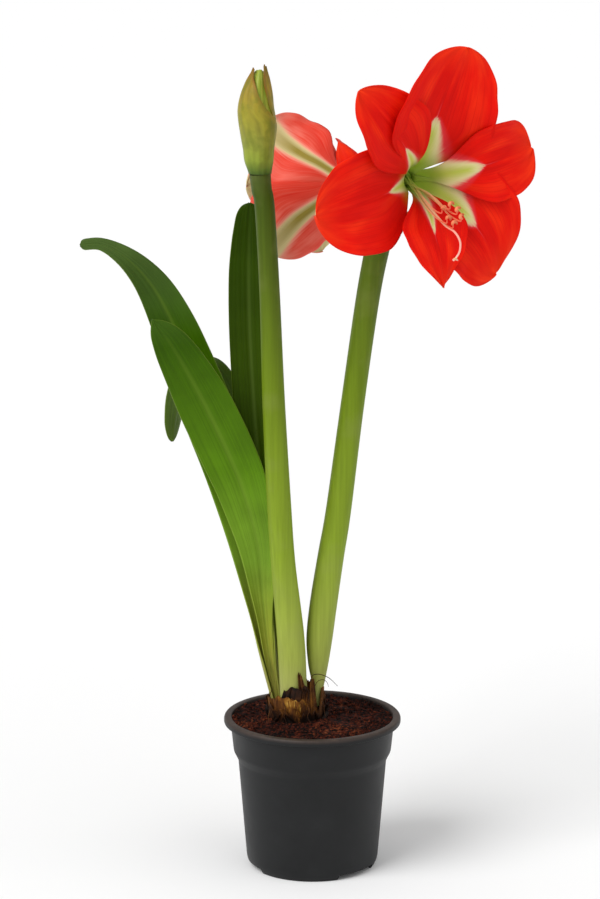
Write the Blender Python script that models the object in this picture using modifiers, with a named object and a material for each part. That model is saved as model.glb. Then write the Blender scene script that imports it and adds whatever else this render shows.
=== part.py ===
"""An amaryllis in a nursery pot, in metres, with +Z up and the origin under the pot, on its axis.

The pot stands on the plane z = 0. The viewer of the reference looks along +Y from about
(0, -2.2, 0.8), so -Y is the front. Every piece is one closed solid in its own object.
"""

import math

import bmesh
import bpy
from mathutils import Matrix, Vector

# Driving sizes of the pot
RIM_RADIUS = 0.065
POT_HEIGHT = 0.113
LIP_HEIGHT = 0.005
COLLAR_TOP_RADIUS = 0.060
COLLAR_FOOT_RADIUS = 0.0577
COLLAR_FOOT_HEIGHT = 0.0870
BODY_TOP_RADIUS = 0.0546
BODY_TOP_HEIGHT = 0.0800
BODY_FOOT_RADIUS = 0.0485
FOOT_RADIUS = 0.0458
WALL = 0.0013
FLOOR = 0.0015
CHANNEL_HEIGHT = 0.0042
CHANNEL_INNER_RADIUS = 0.0346
CHANNEL_OUTER_RADIUS = 0.0442
NOTCH_TURNS = (76.0, 196.0, 316.0)
NOTCH_HALF_WIDTH = 0.0176
NOTCH_HEIGHT = 0.0038
DRAIN_HOLES = 6
DRAIN_RADIUS = 0.0032
DRAIN_CIRCLE = 0.0395
POT_STEPS = 40

# Soil and bulb
SOIL_EDGE_HEIGHT = 0.1096
SOIL_RISE = 0.0020
SOIL_BUMP = 0.0009
GAP = 0.0003
BULB_X = -0.0113
NECK_RADIUS = 0.0182
NECK_TOP = 0.1200
BULB_STEPS = 18
TUNIC_RADIUS = 0.0190
TUNIC_FOOT = 0.1070
TUNIC_SCALE_TURN = math.radians(-65.0)
TUNIC_SCALE_SPREAD = 0.19

# Sheet thicknesses of the plant
LEAF_THICKNESS = 0.0020
LEAF_EDGE_SHARE = 0.40
TEPAL_THICKNESS = 0.0008
BRACT_THICKNESS = 0.0009
TUNIC_THICKNESS = 0.0008
CAP_LIFT = 0.0006

# Bud on the left stem
BUD_X = -0.0378
BUD_Y = -0.0260
BUD_FOOT = 0.5160

# The two open blooms: place of the tube's foot, and where the face is turned, in degrees
FRONT_BLOOM_FOOT = (0.0613, -0.0414, 0.5154)
FRONT_BLOOM_YAW = 31.0
FRONT_BLOOM_PITCH = -2.0
BACK_BLOOM_FOOT = (0.0253, 0.0260, 0.5040)
BACK_BLOOM_YAW = -147.0
BACK_BLOOM_PITCH = -6.0
TUBE_LENGTH = 0.0090
TUBE_RADIUS = 0.0060
TEPAL_ROOT_RADIUS = 0.0050
TEPAL_ROOT_DEPTH = 0.0050

# Tepals by the clock, seen from the flower's own front, 0 at the top and 90 to its right.
# turn, skew: where it points at the root, and how much further round at its tip, in degrees
# reach, rise: how far its tip is from the flower's axis, and in front of the tube's foot
# lean, tip_lean: its angle to the axis at the throat and at the tip, in degrees
# half_width: of the blade, and round, blunt: how late and how suddenly the blade closes
TEPAL_KEYS = ("turn", "skew", "reach", "rise", "lean", "tip_lean", "half_width", "round", "blunt", "hollow")
FRONT_TEPALS = (
    (1.0, 12.0, 0.0967, 0.046, 45.0, 95.0, 0.045, 4.2, 0.60, 0.070),
    (78.0, -3.0, 0.0831, 0.040, 45.0, 95.0, 0.029, 12.0, 0.50, 0.070),
    (123.5, 16.0, 0.0874, 0.040, 45.0, 95.0, 0.039, 5.0, 0.50, 0.070),
    (179.0, -4.0, 0.0706, 0.046, 45.0, 95.0, 0.033, 2.4, 0.85, 0.140),
    (261.5, 0.0, 0.0911, 0.036, 45.0, 95.0, 0.037, 5.0, 0.50, 0.110),
    (321.0, -4.0, 0.0936, 0.042, 45.0, 95.0, 0.031, 3.6, 0.65, 0.070),
)
BACK_TEPALS = (
    (36.0, 0.0, 0.0540, 0.058, 40.0, 70.0, 0.037, 4.5, 0.50, 0.060),
    (91.0, 0.0, 0.0483, 0.060, 38.0, 70.0, 0.028, 5.0, 0.55, 0.060),
    (145.0, 0.0, 0.0604, 0.058, 40.0, 70.0, 0.040, 4.5, 0.50, 0.060),
    (196.0, 0.0, 0.0550, 0.060, 38.0, 70.0, 0.029, 5.0, 0.55, 0.060),
    (262.0, 0.0, 0.0500, 0.060, 36.0, 68.0, 0.036, 5.0, 0.55, 0.060),
    (335.0, 0.0, 0.0420, 0.060, 38.0, 70.0, 0.029, 5.0, 0.55, 0.060),
)
FRONT_ARMS = (0.030, 0.035)
BACK_ARMS = (0.026, 0.028)
TEPAL_WAVE = 0.0015

# Leaves: x, y, z of the midrib, half the width, and the radius that the blade is rolled to
LEAF_ARCHING = (
    (-0.0256, 0.0067, 0.1214, 0.0080, 0.0032),
    (-0.0284, 0.0066, 0.1365, 0.0105, 0.0043),
    (-0.0324, 0.0048, 0.1600, 0.0130, 0.0060),
    (-0.0385, 0.0090, 0.1983, 0.0130, 0.0100),
    (-0.0465, 0.0098, 0.2433, 0.0160, 0.0220),
    (-0.0585, 0.0098, 0.2954, 0.0205, 0.0400),
    (-0.0756, 0.0090, 0.3398, 0.0200, 0.0450),
    (-0.0911, 0.0060, 0.3808, 0.0180, 0.0450),
    (-0.1009, 0.0040, 0.4052, 0.0160, 0.0450),
    (-0.1120, 0.0010, 0.4275, 0.0135, 0.0400),
    (-0.1238, -0.0030, 0.4440, 0.0105, 0.0350),
    (-0.1370, -0.0070, 0.4554, 0.0078, 0.0300),
    (-0.1509, -0.0110, 0.4625, 0.0045, 0.0250),
    (-0.1648, -0.0140, 0.4672, 0.0008, 0.0250),
)
LEAF_ARCHING_SIDE = ((1.0, 0.0, 0.0), (0.8, 0.0, 0.6), (0.0, 0.55, 0.80))
LEAF_FRONT = (
    (-0.0256, 0.0036, 0.1214, 0.0016, 0.0060),
    (-0.0284, 0.0030, 0.1365, 0.0026, 0.0030),
    (-0.0320, 0.0010, 0.1600, 0.0058, 0.0035),
    (-0.0360, 0.0019, 0.1995, 0.0092, 0.0080),
    (-0.0397, 0.0024, 0.2408, 0.0150, 0.0250),
    (-0.0504, 0.0030, 0.2819, 0.0190, 0.0450),
    (-0.0604, 0.0000, 0.3085, 0.0205, 0.0500),
    (-0.0773, -0.0080, 0.3469, 0.0200, 0.0550),
    (-0.0904, -0.0160, 0.3740, 0.0170, 0.0550),
    (-0.1006, -0.0240, 0.3935, 0.0135, 0.0500),
    (-0.1081, -0.0290, 0.4052, 0.0085, 0.0400),
    (-0.1135, -0.0320, 0.4129, 0.0010, 0.0400),
)
LEAF_FRONT_SIDE = ((1.0, 0.0, 0.0), (0.9, 0.0, 0.4), (0.75, 0.25, 0.55))
LEAF_UPRIGHT = (
    (-0.0160, 0.0110, 0.1214, 0.0050, 0.0110),
    (-0.0195, 0.0120, 0.1420, 0.0070, 0.0150),
    (-0.0262, 0.0125, 0.1720, 0.0105, 0.0200),
    (-0.0303, 0.0142, 0.2124, 0.0130, 0.0300),
    (-0.0361, 0.0150, 0.2723, 0.0145, 0.0450),
    (-0.0417, 0.0155, 0.3316, 0.0150, 0.0500),
    (-0.0452, 0.0160, 0.3902, 0.0150, 0.0500),
    (-0.0465, 0.0160, 0.4338, 0.0143, 0.0450),
    (-0.0471, 0.0170, 0.4590, 0.0115, 0.0400),
    (-0.0478, 0.0180, 0.4755, 0.0072, 0.0350),
    (-0.0485, 0.0180, 0.4892, 0.0008, 0.0350),
)
LEAF_UPRIGHT_SIDE = ((1.0, 0.1, 0.0), (1.0, 0.0, 0.0), (1.0, 0.1, 0.0))
LEAF_BENT = (
    (-0.0135, 0.0148, 0.1214, 0.0045, 0.0300),
    (-0.0195, 0.0175, 0.1480, 0.0075, 0.0280),
    (-0.0300, 0.0205, 0.1796, 0.0105, 0.0250),
    (-0.0415, 0.0270, 0.2389, 0.0130, 0.0300),
    (-0.0509, 0.0340, 0.2976, 0.0145, 0.0400),
    (-0.0604, 0.0400, 0.3377, 0.0150, 0.0500),
    (-0.0722, 0.0450, 0.3610, 0.0145, 0.0600),
    (-0.0834, 0.0540, 0.3668, 0.0140, 0.0600),
    (-0.0925, 0.0610, 0.3580, 0.0135, 0.0600),
    (-0.0988, 0.0650, 0.3399, 0.0125, 0.0500),
    (-0.1027, 0.0660, 0.3208, 0.0092, 0.0400),
    (-0.1043, 0.0660, 0.3048, 0.0012, 0.0400),
)
LEAF_BENT_SIDE = ((1.0, 0.3, 0.0), (0.66, 0.75, 0.0), (0.66, 0.75, 0.0))

# Stems: x, y, z of the middle, and the radius
SCAPE_LEFT = (
    (-0.0135, -0.0065, 0.1204, 0.0098),
    (-0.0141, -0.0076, 0.1400, 0.0100),
    (-0.0160, -0.0105, 0.1768, 0.0100),
    (-0.0212, -0.0140, 0.2308, 0.0089),
    (-0.0242, -0.0170, 0.2776, 0.0087),
    (-0.0279, -0.0200, 0.3530, 0.0081),
    (-0.0305, -0.0230, 0.4293, 0.0073),
    (-0.0337, -0.0250, 0.4900, 0.0071),
    (-0.0360, -0.0257, 0.5050, 0.0073),
    (-0.0372, -0.0260, 0.5155, 0.0084),
)
SCAPE_RIGHT = (
    (0.0030, 0.0000, 0.1204, 0.0028),
    (0.0034, 0.0000, 0.1290, 0.0034),
    (0.0042, 0.0000, 0.1400, 0.0052),
    (0.0043, 0.0004, 0.1530, 0.0076),
    (0.0052, 0.0008, 0.1720, 0.0096),
    (0.0082, 0.0010, 0.1980, 0.0100),
    (0.0135, 0.0020, 0.2335, 0.0096),
    (0.0189, 0.0020, 0.2672, 0.0092),
    (0.0287, 0.0020, 0.3449, 0.0085),
    (0.0392, 0.0010, 0.4217, 0.0085),
    (0.0458, 0.0000, 0.4580, 0.0088),
    (0.0497, 0.0000, 0.4740, 0.0096),
    (0.0497, 0.0000, 0.4797, 0.0098),
)
UMBEL_TOP = 0.4803
FRONT_PEDICEL = (
    (0.0540, -0.0055, UMBEL_TOP, 0.0030),
    (0.0540, -0.0055, 0.4860, 0.0030),
    (0.0540, -0.0100, 0.5020, 0.0030),
    (0.0532, -0.0185, 0.5130, 0.0031),
    (0.0537, -0.0285, 0.5157, 0.0040),
    (0.0561, -0.0325, 0.5158, 0.0062),
    (0.0585, -0.0368, 0.5156, 0.0062),
    (0.0611, -0.0411, 0.5154, 0.0046),
)
BACK_PEDICEL = (
    (0.0496, 0.0058, UMBEL_TOP, 0.0029),
    (0.0496, 0.0058, 0.4860, 0.0029),
    (0.0440, 0.0080, 0.4980, 0.0030),
    (0.0375, 0.0090, 0.5045, 0.0032),
    (0.0329, 0.0143, 0.5054, 0.0042),
    (0.0305, 0.0180, 0.5050, 0.0062),
    (0.0280, 0.0219, 0.5045, 0.0062),
    (0.0255, 0.0257, 0.5040, 0.0046),
)
RED_BUD_STALK = (
    (0.0448, -0.0040, UMBEL_TOP, 0.0028),
    (0.0448, -0.0040, 0.4845, 0.0028),
    (0.0415, -0.0047, 0.4935, 0.0030),
    (0.0385, -0.0051, 0.4985, 0.0040),
)
RED_BUD_FOOT = (0.0383, -0.0051, 0.4988)
RED_BUD_TIP = (0.0177, -0.0080, 0.5366)
RED_BUD_RADIUS = 0.0100

# Stamens in the flower's own frame: to its right, up, and forwards from the throat
FILAMENTS = 6
FILAMENT_STEPS = 5
FILAMENT_RADIUS = 0.0008
ANTHER_RADIUS = 0.0014
STYLE_RADIUS = 0.0009

# Withered bracts under the blooms
DRY_BRACT_BACK = (
    (0.0500, 0.0108, 0.4720, 0.0045, 0.0100),
    (0.0510, 0.0150, 0.4830, 0.0075, 0.0110),
    (0.0540, 0.0250, 0.4880, 0.0085, 0.0120),
    (0.0570, 0.0360, 0.4820, 0.0070, 0.0110),
    (0.0590, 0.0440, 0.4680, 0.0010, 0.0100),
)
DRY_BRACT_RIGHT = (
    (0.0610, 0.0020, 0.4700, 0.0045, 0.0100),
    (0.0640, 0.0040, 0.4800, 0.0070, 0.0100),
    (0.0720, 0.0080, 0.4850, 0.0080, 0.0110),
    (0.0800, 0.0120, 0.4790, 0.0060, 0.0110),
    (0.0850, 0.0140, 0.4660, 0.0010, 0.0100),
)

for old in list(bpy.data.objects):
    bpy.data.objects.remove(old, do_unlink=True)

plant_parts = bpy.data.collections.new("amaryllis_in_pot")
cutter_parts = bpy.data.collections.new("cutters")
bpy.context.scene.collection.children.link(plant_parts)
bpy.context.scene.collection.children.link(cutter_parts)


def finish(name, colour, roughness):
    """A Principled material of one colour, for one piece."""
    made = bpy.data.materials.new(name)
    made.use_nodes = True
    shader = made.node_tree.nodes["Principled BSDF"]
    shader.inputs["Base Color"].default_value = (*colour, 1.0)
    shader.inputs["Roughness"].default_value = roughness
    shader.inputs["Metallic"].default_value = 0.0
    made.diffuse_color = (*colour, 1.0)
    return made


LEAF_GREEN = (0.055, 0.115, 0.015)
STEM_GREEN = (0.120, 0.200, 0.035)
TEPAL_RED = (0.780, 0.020, 0.008)
BRACT_OLIVE = (0.300, 0.290, 0.060)
PAPER_BROWN = (0.200, 0.080, 0.020)


def add_object(name, mesh, material, smooth_angle=40.0):
    """Put a mesh in the scene as one named part with its own material."""
    mesh.materials.clear()
    mesh.materials.append(material)
    mesh.shade_smooth()
    mesh.set_sharp_from_angle(angle=math.radians(smooth_angle))
    piece = bpy.data.objects.new(name, mesh)
    plant_parts.objects.link(piece)
    return piece


def evaluated_mesh(piece):
    """The mesh of an object with its modifiers applied, in world space."""
    bpy.context.view_layer.update()
    graph = bpy.context.evaluated_depsgraph_get()
    mesh = bpy.data.meshes.new_from_object(piece.evaluated_get(graph))
    mesh.transform(piece.matrix_world)
    return mesh


def weld(mesh, distance=0.00001):
    """Join points that lie together, such as a tube's cap and its wall, and face them outwards."""
    shape = bmesh.new()
    shape.from_mesh(mesh)
    bmesh.ops.remove_doubles(shape, verts=shape.verts, dist=distance)
    bmesh.ops.recalc_face_normals(shape, faces=shape.faces)
    if shape.calc_volume(signed=True) < 0.0:
        bmesh.ops.reverse_faces(shape, faces=shape.faces)
    shape.to_mesh(mesh)
    shape.free()
    return mesh


def turned_mesh(profile, steps, centre=(0.0, 0.0)):
    """Turn a profile of (radius, height) about a vertical line, outer side running down."""
    shape = bmesh.new()
    points = [shape.verts.new((radius, 0.0, height)) for radius, height in profile]
    for upper, lower in zip(points, points[1:]):
        shape.edges.new((upper, lower))
    mesh = bpy.data.meshes.new("profile")
    shape.to_mesh(mesh)
    shape.free()
    piece = bpy.data.objects.new("profile", mesh)
    plant_parts.objects.link(piece)
    screw = piece.modifiers.new("turn", "SCREW")
    screw.steps = steps
    screw.render_steps = steps
    screw.use_merge_vertices = True
    screw.merge_threshold = 0.00001
    turned = evaluated_mesh(piece)
    bpy.data.objects.remove(piece, do_unlink=True)
    turned.transform(Matrix.Translation((centre[0], centre[1], 0.0)))
    return weld(turned)


def eased(low, high, value):
    """Smooth step from 0 at low to 1 at high."""
    share = min(max((value - low) / (high - low), 0.0), 1.0)
    return share * share * (3.0 - 2.0 * share)


def along(stations, share):
    """A point on the smooth curve through the stations, share running from 0 to 1."""
    spans = len(stations) - 1
    place = min(share * spans, spans - 1e-9)
    span = int(place)
    t = place - span
    before = stations[max(span - 1, 0)]
    start = stations[span]
    end = stations[span + 1]
    after = stations[min(span + 2, spans)]
    values = []
    for a, b, c, d in zip(before, start, end, after):
        slope = 2.0 * b + (c - a) * t
        bend = (2.0 * a - 5.0 * b + 4.0 * c - d) * t * t
        twist = (3.0 * b - a - 3.0 * c + d) * t * t * t
        values.append(0.5 * (slope + bend + twist))
    return values


def sheet_mesh(columns, rows, place):
    """A grid whose points go where place(across, along) says, across in -1..1, along in 0..1."""
    shape = bmesh.new()
    bmesh.ops.create_grid(shape, x_segments=columns, y_segments=rows, size=1.0)
    for point in shape.verts:
        point.co = place(point.co.x, (point.co.y + 1.0) / 2.0)
    bmesh.ops.triangulate(shape, faces=shape.faces)
    mesh = bpy.data.meshes.new("sheet")
    shape.to_mesh(mesh)
    shape.free()
    return mesh


def thicken(piece, thickness):
    """Give an open sheet its thickness, half to each side."""
    solid = piece.modifiers.new("thickness", "SOLIDIFY")
    solid.thickness = thickness
    solid.offset = 0.0
    return solid


def strap_place(stations, sides):
    """The surface of a leaf: its midrib, its width and how far the blade is rolled up."""

    def place(across, share):
        x, y, z, half_width, roll = along(stations, share)
        step = 0.01
        ahead = Vector(along(stations, min(share + step, 1.0))[:3])
        behind = Vector(along(stations, max(share - step, 0.0))[:3])
        forward = (ahead - behind).normalized()
        side = Vector(along(sides, share))
        side = (side - forward * side.dot(forward)).normalized()
        face = side.cross(forward)
        half_width = max(half_width, 0.0007)
        angle = across * half_width / roll
        return Vector((x, y, z)) + side * math.sin(angle) * roll + face * (1.0 - math.cos(angle)) * roll

    return place


def add_leaf(name, stations, sides, colour, columns=6, rows_per_span=2, thickness=LEAF_THICKNESS):
    """A strap leaf, thick along its midrib and thin at its edges."""
    rows = (len(stations) - 1) * rows_per_span
    mesh = sheet_mesh(columns, rows, strap_place(stations, sides))
    piece = add_object(name, mesh, finish(name, colour, 0.45))
    body = piece.vertex_groups.new(name="body")
    for index in range(len(mesh.vertices)):
        column = index % (columns + 1)
        across = 2.0 * column / columns - 1.0
        body.add([index], 1.0 - across * across, "REPLACE")
    solid = thicken(piece, thickness)
    solid.vertex_group = "body"
    solid.thickness_vertex_group = LEAF_EDGE_SHARE
    return piece


def tube_mesh(stations, sides_level=3):
    """A capped tube through x, y, z, radius."""
    curve = bpy.data.curves.new("tube", "CURVE")
    curve.dimensions = "3D"
    curve.bevel_depth = 1.0
    curve.bevel_resolution = sides_level
    curve.use_fill_caps = True
    line = curve.splines.new("POLY")
    line.points.add(len(stations) - 1)
    for point, (x, y, z, radius) in zip(line.points, stations):
        point.co = (x, y, z, 1.0)
        point.radius = radius
    piece = bpy.data.objects.new("tube", curve)
    plant_parts.objects.link(piece)
    mesh = evaluated_mesh(piece)
    bpy.data.objects.remove(piece, do_unlink=True)
    return weld(mesh)


def smooth_stations(stations, spans):
    """More stations, on the smooth curve through the given ones."""
    return [along(stations, index / spans) for index in range(spans + 1)]


def upright_ends(stations, foot_upright=True, top_upright=True):
    """Lift a tube's last ring and lower its first straight above the next, so its cap is level."""
    stations = [list(station) for station in stations]
    if foot_upright:
        x, y, z, radius = stations[0]
        stations[0][2] = z + CAP_LIFT
        stations.insert(0, [x, y, z, radius])
    if top_upright:
        x, y, z, radius = stations[-1]
        stations[-1][2] = z - CAP_LIFT
        stations.append([x, y, z, radius])
    return stations


def largest_shell(mesh):
    """Keep the main shell of a joined mesh, without the slivers and pockets where sheets cross."""
    shape = bmesh.new()
    shape.from_mesh(mesh)
    waiting = set(shape.faces)
    shells = []
    while waiting:
        shell = [waiting.pop()]
        for face in shell:
            for edge in face.edges:
                for other in edge.link_faces:
                    if other in waiting:
                        waiting.remove(other)
                        shell.append(other)
        shells.append(shell)
    shells.sort(key=len)
    for shell in shells[:-1]:
        bmesh.ops.delete(shape, geom=shell, context="FACES")
    shape.to_mesh(mesh)
    shape.free()
    return mesh


def fuse(name, meshes, material, solver="MANIFOLD"):
    """Join closed meshes into one body by a Boolean union on a collection."""
    base = bpy.data.objects.new(name, meshes[0])
    plant_parts.objects.link(base)
    others = bpy.data.collections.new(name + "_joined")
    cutter_parts.children.link(others)
    for mesh in meshes[1:]:
        piece = bpy.data.objects.new(name + "_joined", mesh)
        piece.hide_render = True
        piece.display_type = "WIRE"
        others.objects.link(piece)
    union = base.modifiers.new("union", "BOOLEAN")
    union.operation = "UNION"
    union.operand_type = "COLLECTION"
    union.collection = others
    union.solver = solver
    joined = largest_shell(weld(evaluated_mesh(base), 0.000002))
    for piece in list(others.objects):
        bpy.data.objects.remove(piece, do_unlink=True)
    bpy.data.collections.remove(others)
    bpy.data.objects.remove(base, do_unlink=True)
    return add_object(name, joined, material)


def solid_sheet(columns, rows, place, thickness):
    """A closed mesh of a thickened sheet."""
    piece = bpy.data.objects.new("sheet", sheet_mesh(columns, rows, place))
    plant_parts.objects.link(piece)
    thicken(piece, thickness)
    mesh = evaluated_mesh(piece)
    bpy.data.objects.remove(piece, do_unlink=True)
    return mesh


def cut(piece, cutters):
    """Cut a piece with closed objects, which stay as wires."""
    for index, cutter in enumerate(cutters):
        cutter.hide_render = True
        cutter.display_type = "WIRE"
        hole = piece.modifiers.new("cut_%d" % index, "BOOLEAN")
        hole.operation = "DIFFERENCE"
        hole.object = cutter


def add_cutter(name, shape):
    """A closed cutter from a bmesh."""
    mesh = bpy.data.meshes.new(name)
    shape.to_mesh(mesh)
    shape.free()
    piece = bpy.data.objects.new(name, mesh)
    cutter_parts.objects.link(piece)
    return piece


def add_pot():
    """The nursery pot: flat floor, raised drain channel, notched foot ring, collar and lip."""
    lip_foot = POT_HEIGHT - LIP_HEIGHT
    profile = (
        (0.0, FLOOR),
        (CHANNEL_INNER_RADIUS - 0.0021, FLOOR),
        (CHANNEL_INNER_RADIUS - 0.0006, CHANNEL_HEIGHT + FLOOR),
        (BODY_FOOT_RADIUS - WALL - 0.0020, CHANNEL_HEIGHT + FLOOR),
        (BODY_FOOT_RADIUS - WALL, CHANNEL_HEIGHT + 0.0040),
        (BODY_TOP_RADIUS - WALL, BODY_TOP_HEIGHT - 0.0005),
        (COLLAR_FOOT_RADIUS - WALL, COLLAR_FOOT_HEIGHT),
        (COLLAR_TOP_RADIUS - WALL, lip_foot),
        (COLLAR_TOP_RADIUS - 0.0006, POT_HEIGHT - 0.0009),
        (COLLAR_TOP_RADIUS + 0.0003, POT_HEIGHT),
        (RIM_RADIUS - 0.0014, POT_HEIGHT),
        (RIM_RADIUS - 0.0003, POT_HEIGHT - 0.0007),
        (RIM_RADIUS, POT_HEIGHT - 0.0020),
        (RIM_RADIUS, lip_foot + 0.0010),
        (RIM_RADIUS - 0.0006, lip_foot + 0.0002),
        (COLLAR_TOP_RADIUS + 0.0008, lip_foot - 0.0002),
        (COLLAR_TOP_RADIUS, lip_foot - 0.0012),
        (COLLAR_FOOT_RADIUS + 0.0003, COLLAR_FOOT_HEIGHT + 0.0010),
        (COLLAR_FOOT_RADIUS - 0.0003, COLLAR_FOOT_HEIGHT - 0.0014),
        (BODY_TOP_RADIUS + 0.0014, BODY_TOP_HEIGHT + 0.0030),
        (BODY_TOP_RADIUS + 0.0002, BODY_TOP_HEIGHT + 0.0008),
        (BODY_TOP_RADIUS - 0.0002, BODY_TOP_HEIGHT - 0.0020),
        (BODY_FOOT_RADIUS, 0.0060),
        (BODY_FOOT_RADIUS - 0.0006, 0.0030),
        (FOOT_RADIUS + 0.0010, 0.0006),
        (FOOT_RADIUS, 0.0),
        (CHANNEL_OUTER_RADIUS, 0.0),
        (CHANNEL_OUTER_RADIUS, CHANNEL_HEIGHT),
        (CHANNEL_INNER_RADIUS, CHANNEL_HEIGHT),
        (CHANNEL_INNER_RADIUS - 0.0016, 0.0),
        (0.0, 0.0),
    )
    mesh = turned_mesh(profile, POT_STEPS)
    pot = add_object("pot", mesh, finish("pot", (0.026, 0.027, 0.029), 0.5), 30.0)
    cutters = []
    for turn in NOTCH_TURNS:
        shape = bmesh.new()
        bmesh.ops.create_cube(shape, size=1.0)
        depth = 0.020
        middle = CHANNEL_OUTER_RADIUS + 0.0035
        outward = Matrix.Translation((middle, 0.0, NOTCH_HEIGHT / 2 - 0.001))
        place = Matrix.Rotation(math.radians(turn), 4, "Z") @ outward
        size = Matrix.Diagonal((depth, 2 * NOTCH_HALF_WIDTH, NOTCH_HEIGHT + 0.002, 1.0))
        bmesh.ops.transform(shape, matrix=place @ size, verts=shape.verts)
        cutters.append(add_cutter("notch", shape))
    for index in range(DRAIN_HOLES):
        shape = bmesh.new()
        bmesh.ops.create_cone(
            shape, cap_ends=True, segments=12, radius1=DRAIN_RADIUS, radius2=DRAIN_RADIUS, depth=0.012
        )
        turn = math.radians(360.0 * index / DRAIN_HOLES + NOTCH_TURNS[0])
        place = Matrix.Translation((DRAIN_CIRCLE * math.cos(turn), DRAIN_CIRCLE * math.sin(turn), 0.005))
        bmesh.ops.transform(shape, matrix=place, verts=shape.verts)
        cutters.append(add_cutter("drain", shape))
    cut(pot, cutters)


BULB_PROFILE = (
    (0.0, NECK_TOP),
    (NECK_RADIUS - 0.0010, NECK_TOP),
    (NECK_RADIUS, NECK_TOP - 0.0020),
    (NECK_RADIUS + 0.0002, 0.1060),
    (NECK_RADIUS + 0.0022, 0.1025),
    (0.0300, 0.0980),
    (0.0350, 0.0880),
    (0.0368, 0.0760),
    (0.0355, 0.0640),
    (0.0310, 0.0520),
    (0.0230, 0.0420),
    (0.0130, 0.0370),
    (0.0, 0.0360),
)


def add_bulb():
    """The bulb, whose flat neck carries the leaves and stems."""
    mesh = turned_mesh(BULB_PROFILE, BULB_STEPS, (BULB_X, 0.0))
    add_object("bulb", mesh, finish("bulb", PAPER_BROWN, 0.7))


def add_soil():
    """The potting mix: it fills the pot round the bulb, with a lumpy top."""
    edge = COLLAR_TOP_RADIUS - WALL - 0.0004
    profile = [
        (0.0, SOIL_EDGE_HEIGHT + SOIL_RISE),
        (0.010, SOIL_EDGE_HEIGHT + SOIL_RISE),
        (0.018, SOIL_EDGE_HEIGHT + SOIL_RISE),
        (0.026, SOIL_EDGE_HEIGHT + SOIL_RISE * 0.9),
        (0.033, SOIL_EDGE_HEIGHT + SOIL_RISE * 0.7),
        (0.039, SOIL_EDGE_HEIGHT + SOIL_RISE * 0.5),
        (0.045, SOIL_EDGE_HEIGHT + SOIL_RISE * 0.3),
        (0.051, SOIL_EDGE_HEIGHT + SOIL_RISE * 0.1),
        (edge, SOIL_EDGE_HEIGHT),
        (COLLAR_FOOT_RADIUS - WALL - GAP, COLLAR_FOOT_HEIGHT),
        (BODY_TOP_RADIUS - WALL - GAP, BODY_TOP_HEIGHT - 0.0005),
        (BODY_FOOT_RADIUS - WALL - GAP, CHANNEL_HEIGHT + 0.0042),
        (BODY_FOOT_RADIUS - WALL - 0.0022, CHANNEL_HEIGHT + FLOOR + GAP),
        (CHANNEL_INNER_RADIUS - 0.0009, CHANNEL_HEIGHT + FLOOR + GAP),
        (CHANNEL_INNER_RADIUS - 0.0025, FLOOR + GAP),
        (0.0, FLOOR + GAP),
    ]
    mesh = turned_mesh(profile, POT_STEPS)
    for point in mesh.vertices:
        radius = math.hypot(point.co.x, point.co.y)
        if point.co.z > SOIL_EDGE_HEIGHT - 0.0001 and radius < edge - 0.001:
            waves = math.sin(310.0 * point.co.x + 1.0) * math.sin(270.0 * point.co.y + 0.4)
            ripples = math.sin(640.0 * point.co.x - 520.0 * point.co.y)
            point.co.z += SOIL_BUMP * (waves + 0.6 * ripples)
    soil = add_object("soil", mesh, finish("soil", (0.045, 0.016, 0.008), 0.95))
    hole = [(0.0, 0.130), (TUNIC_RADIUS + 0.0028, 0.130), (TUNIC_RADIUS + 0.0028, 0.1045)]
    hole += [(radius + 0.0004, height) for radius, height in BULB_PROFILE[5:-1]]
    hole.append((0.0, BULB_PROFILE[-1][1] - 0.0004))
    cutter = bpy.data.objects.new("bulb_hole", turned_mesh(hole, BULB_STEPS, (BULB_X, 0.0)))
    cutter_parts.objects.link(cutter)
    cut(soil, [cutter])


def add_tunic():
    """The papery brown scales round the neck, with a torn edge and one tall scale in front."""

    def place(across, share):
        turn = math.pi * across
        front = 0.5 - 0.5 * math.sin(turn)
        torn = abs(math.sin(3.5 * turn + 0.6)) ** 1.5 * 0.55 + abs(math.sin(8.0 * turn)) * 0.25
        scale = math.exp(-(((turn - TUNIC_SCALE_TURN) / TUNIC_SCALE_SPREAD) ** 2))
        height = 0.0130 + 0.0060 * front + 0.0045 * torn * (1.0 - scale) + 0.0190 * scale
        lean = 0.0016 * share + 0.0007 * math.sin(7.0 * turn) * share
        radius = TUNIC_RADIUS + lean
        return Vector((BULB_X + radius * math.cos(turn), radius * math.sin(turn), TUNIC_FOOT + height * share))

    piece = bpy.data.objects.new("sheet", sheet_mesh(48, 3, place))
    weld(piece.data, 0.00005)
    plant_parts.objects.link(piece)
    thicken(piece, TUNIC_THICKNESS)
    mesh = evaluated_mesh(piece)
    bpy.data.objects.remove(piece, do_unlink=True)
    add_object("tunic", mesh, finish("tunic", PAPER_BROWN, 0.6))


def flower_frame(yaw, pitch):
    """The directions forwards, up and right of a flower; yaw 0 faces the front."""
    turn = math.radians(yaw)
    tilt = math.radians(pitch)
    forward = Vector((math.sin(turn) * math.cos(tilt), -math.cos(turn) * math.cos(tilt), math.sin(tilt)))
    up = Vector((0.0, 0.0, 1.0))
    up = (up - forward * up.dot(forward)).normalized()
    right = up.cross(forward).normalized()
    return forward, up, right


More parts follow.
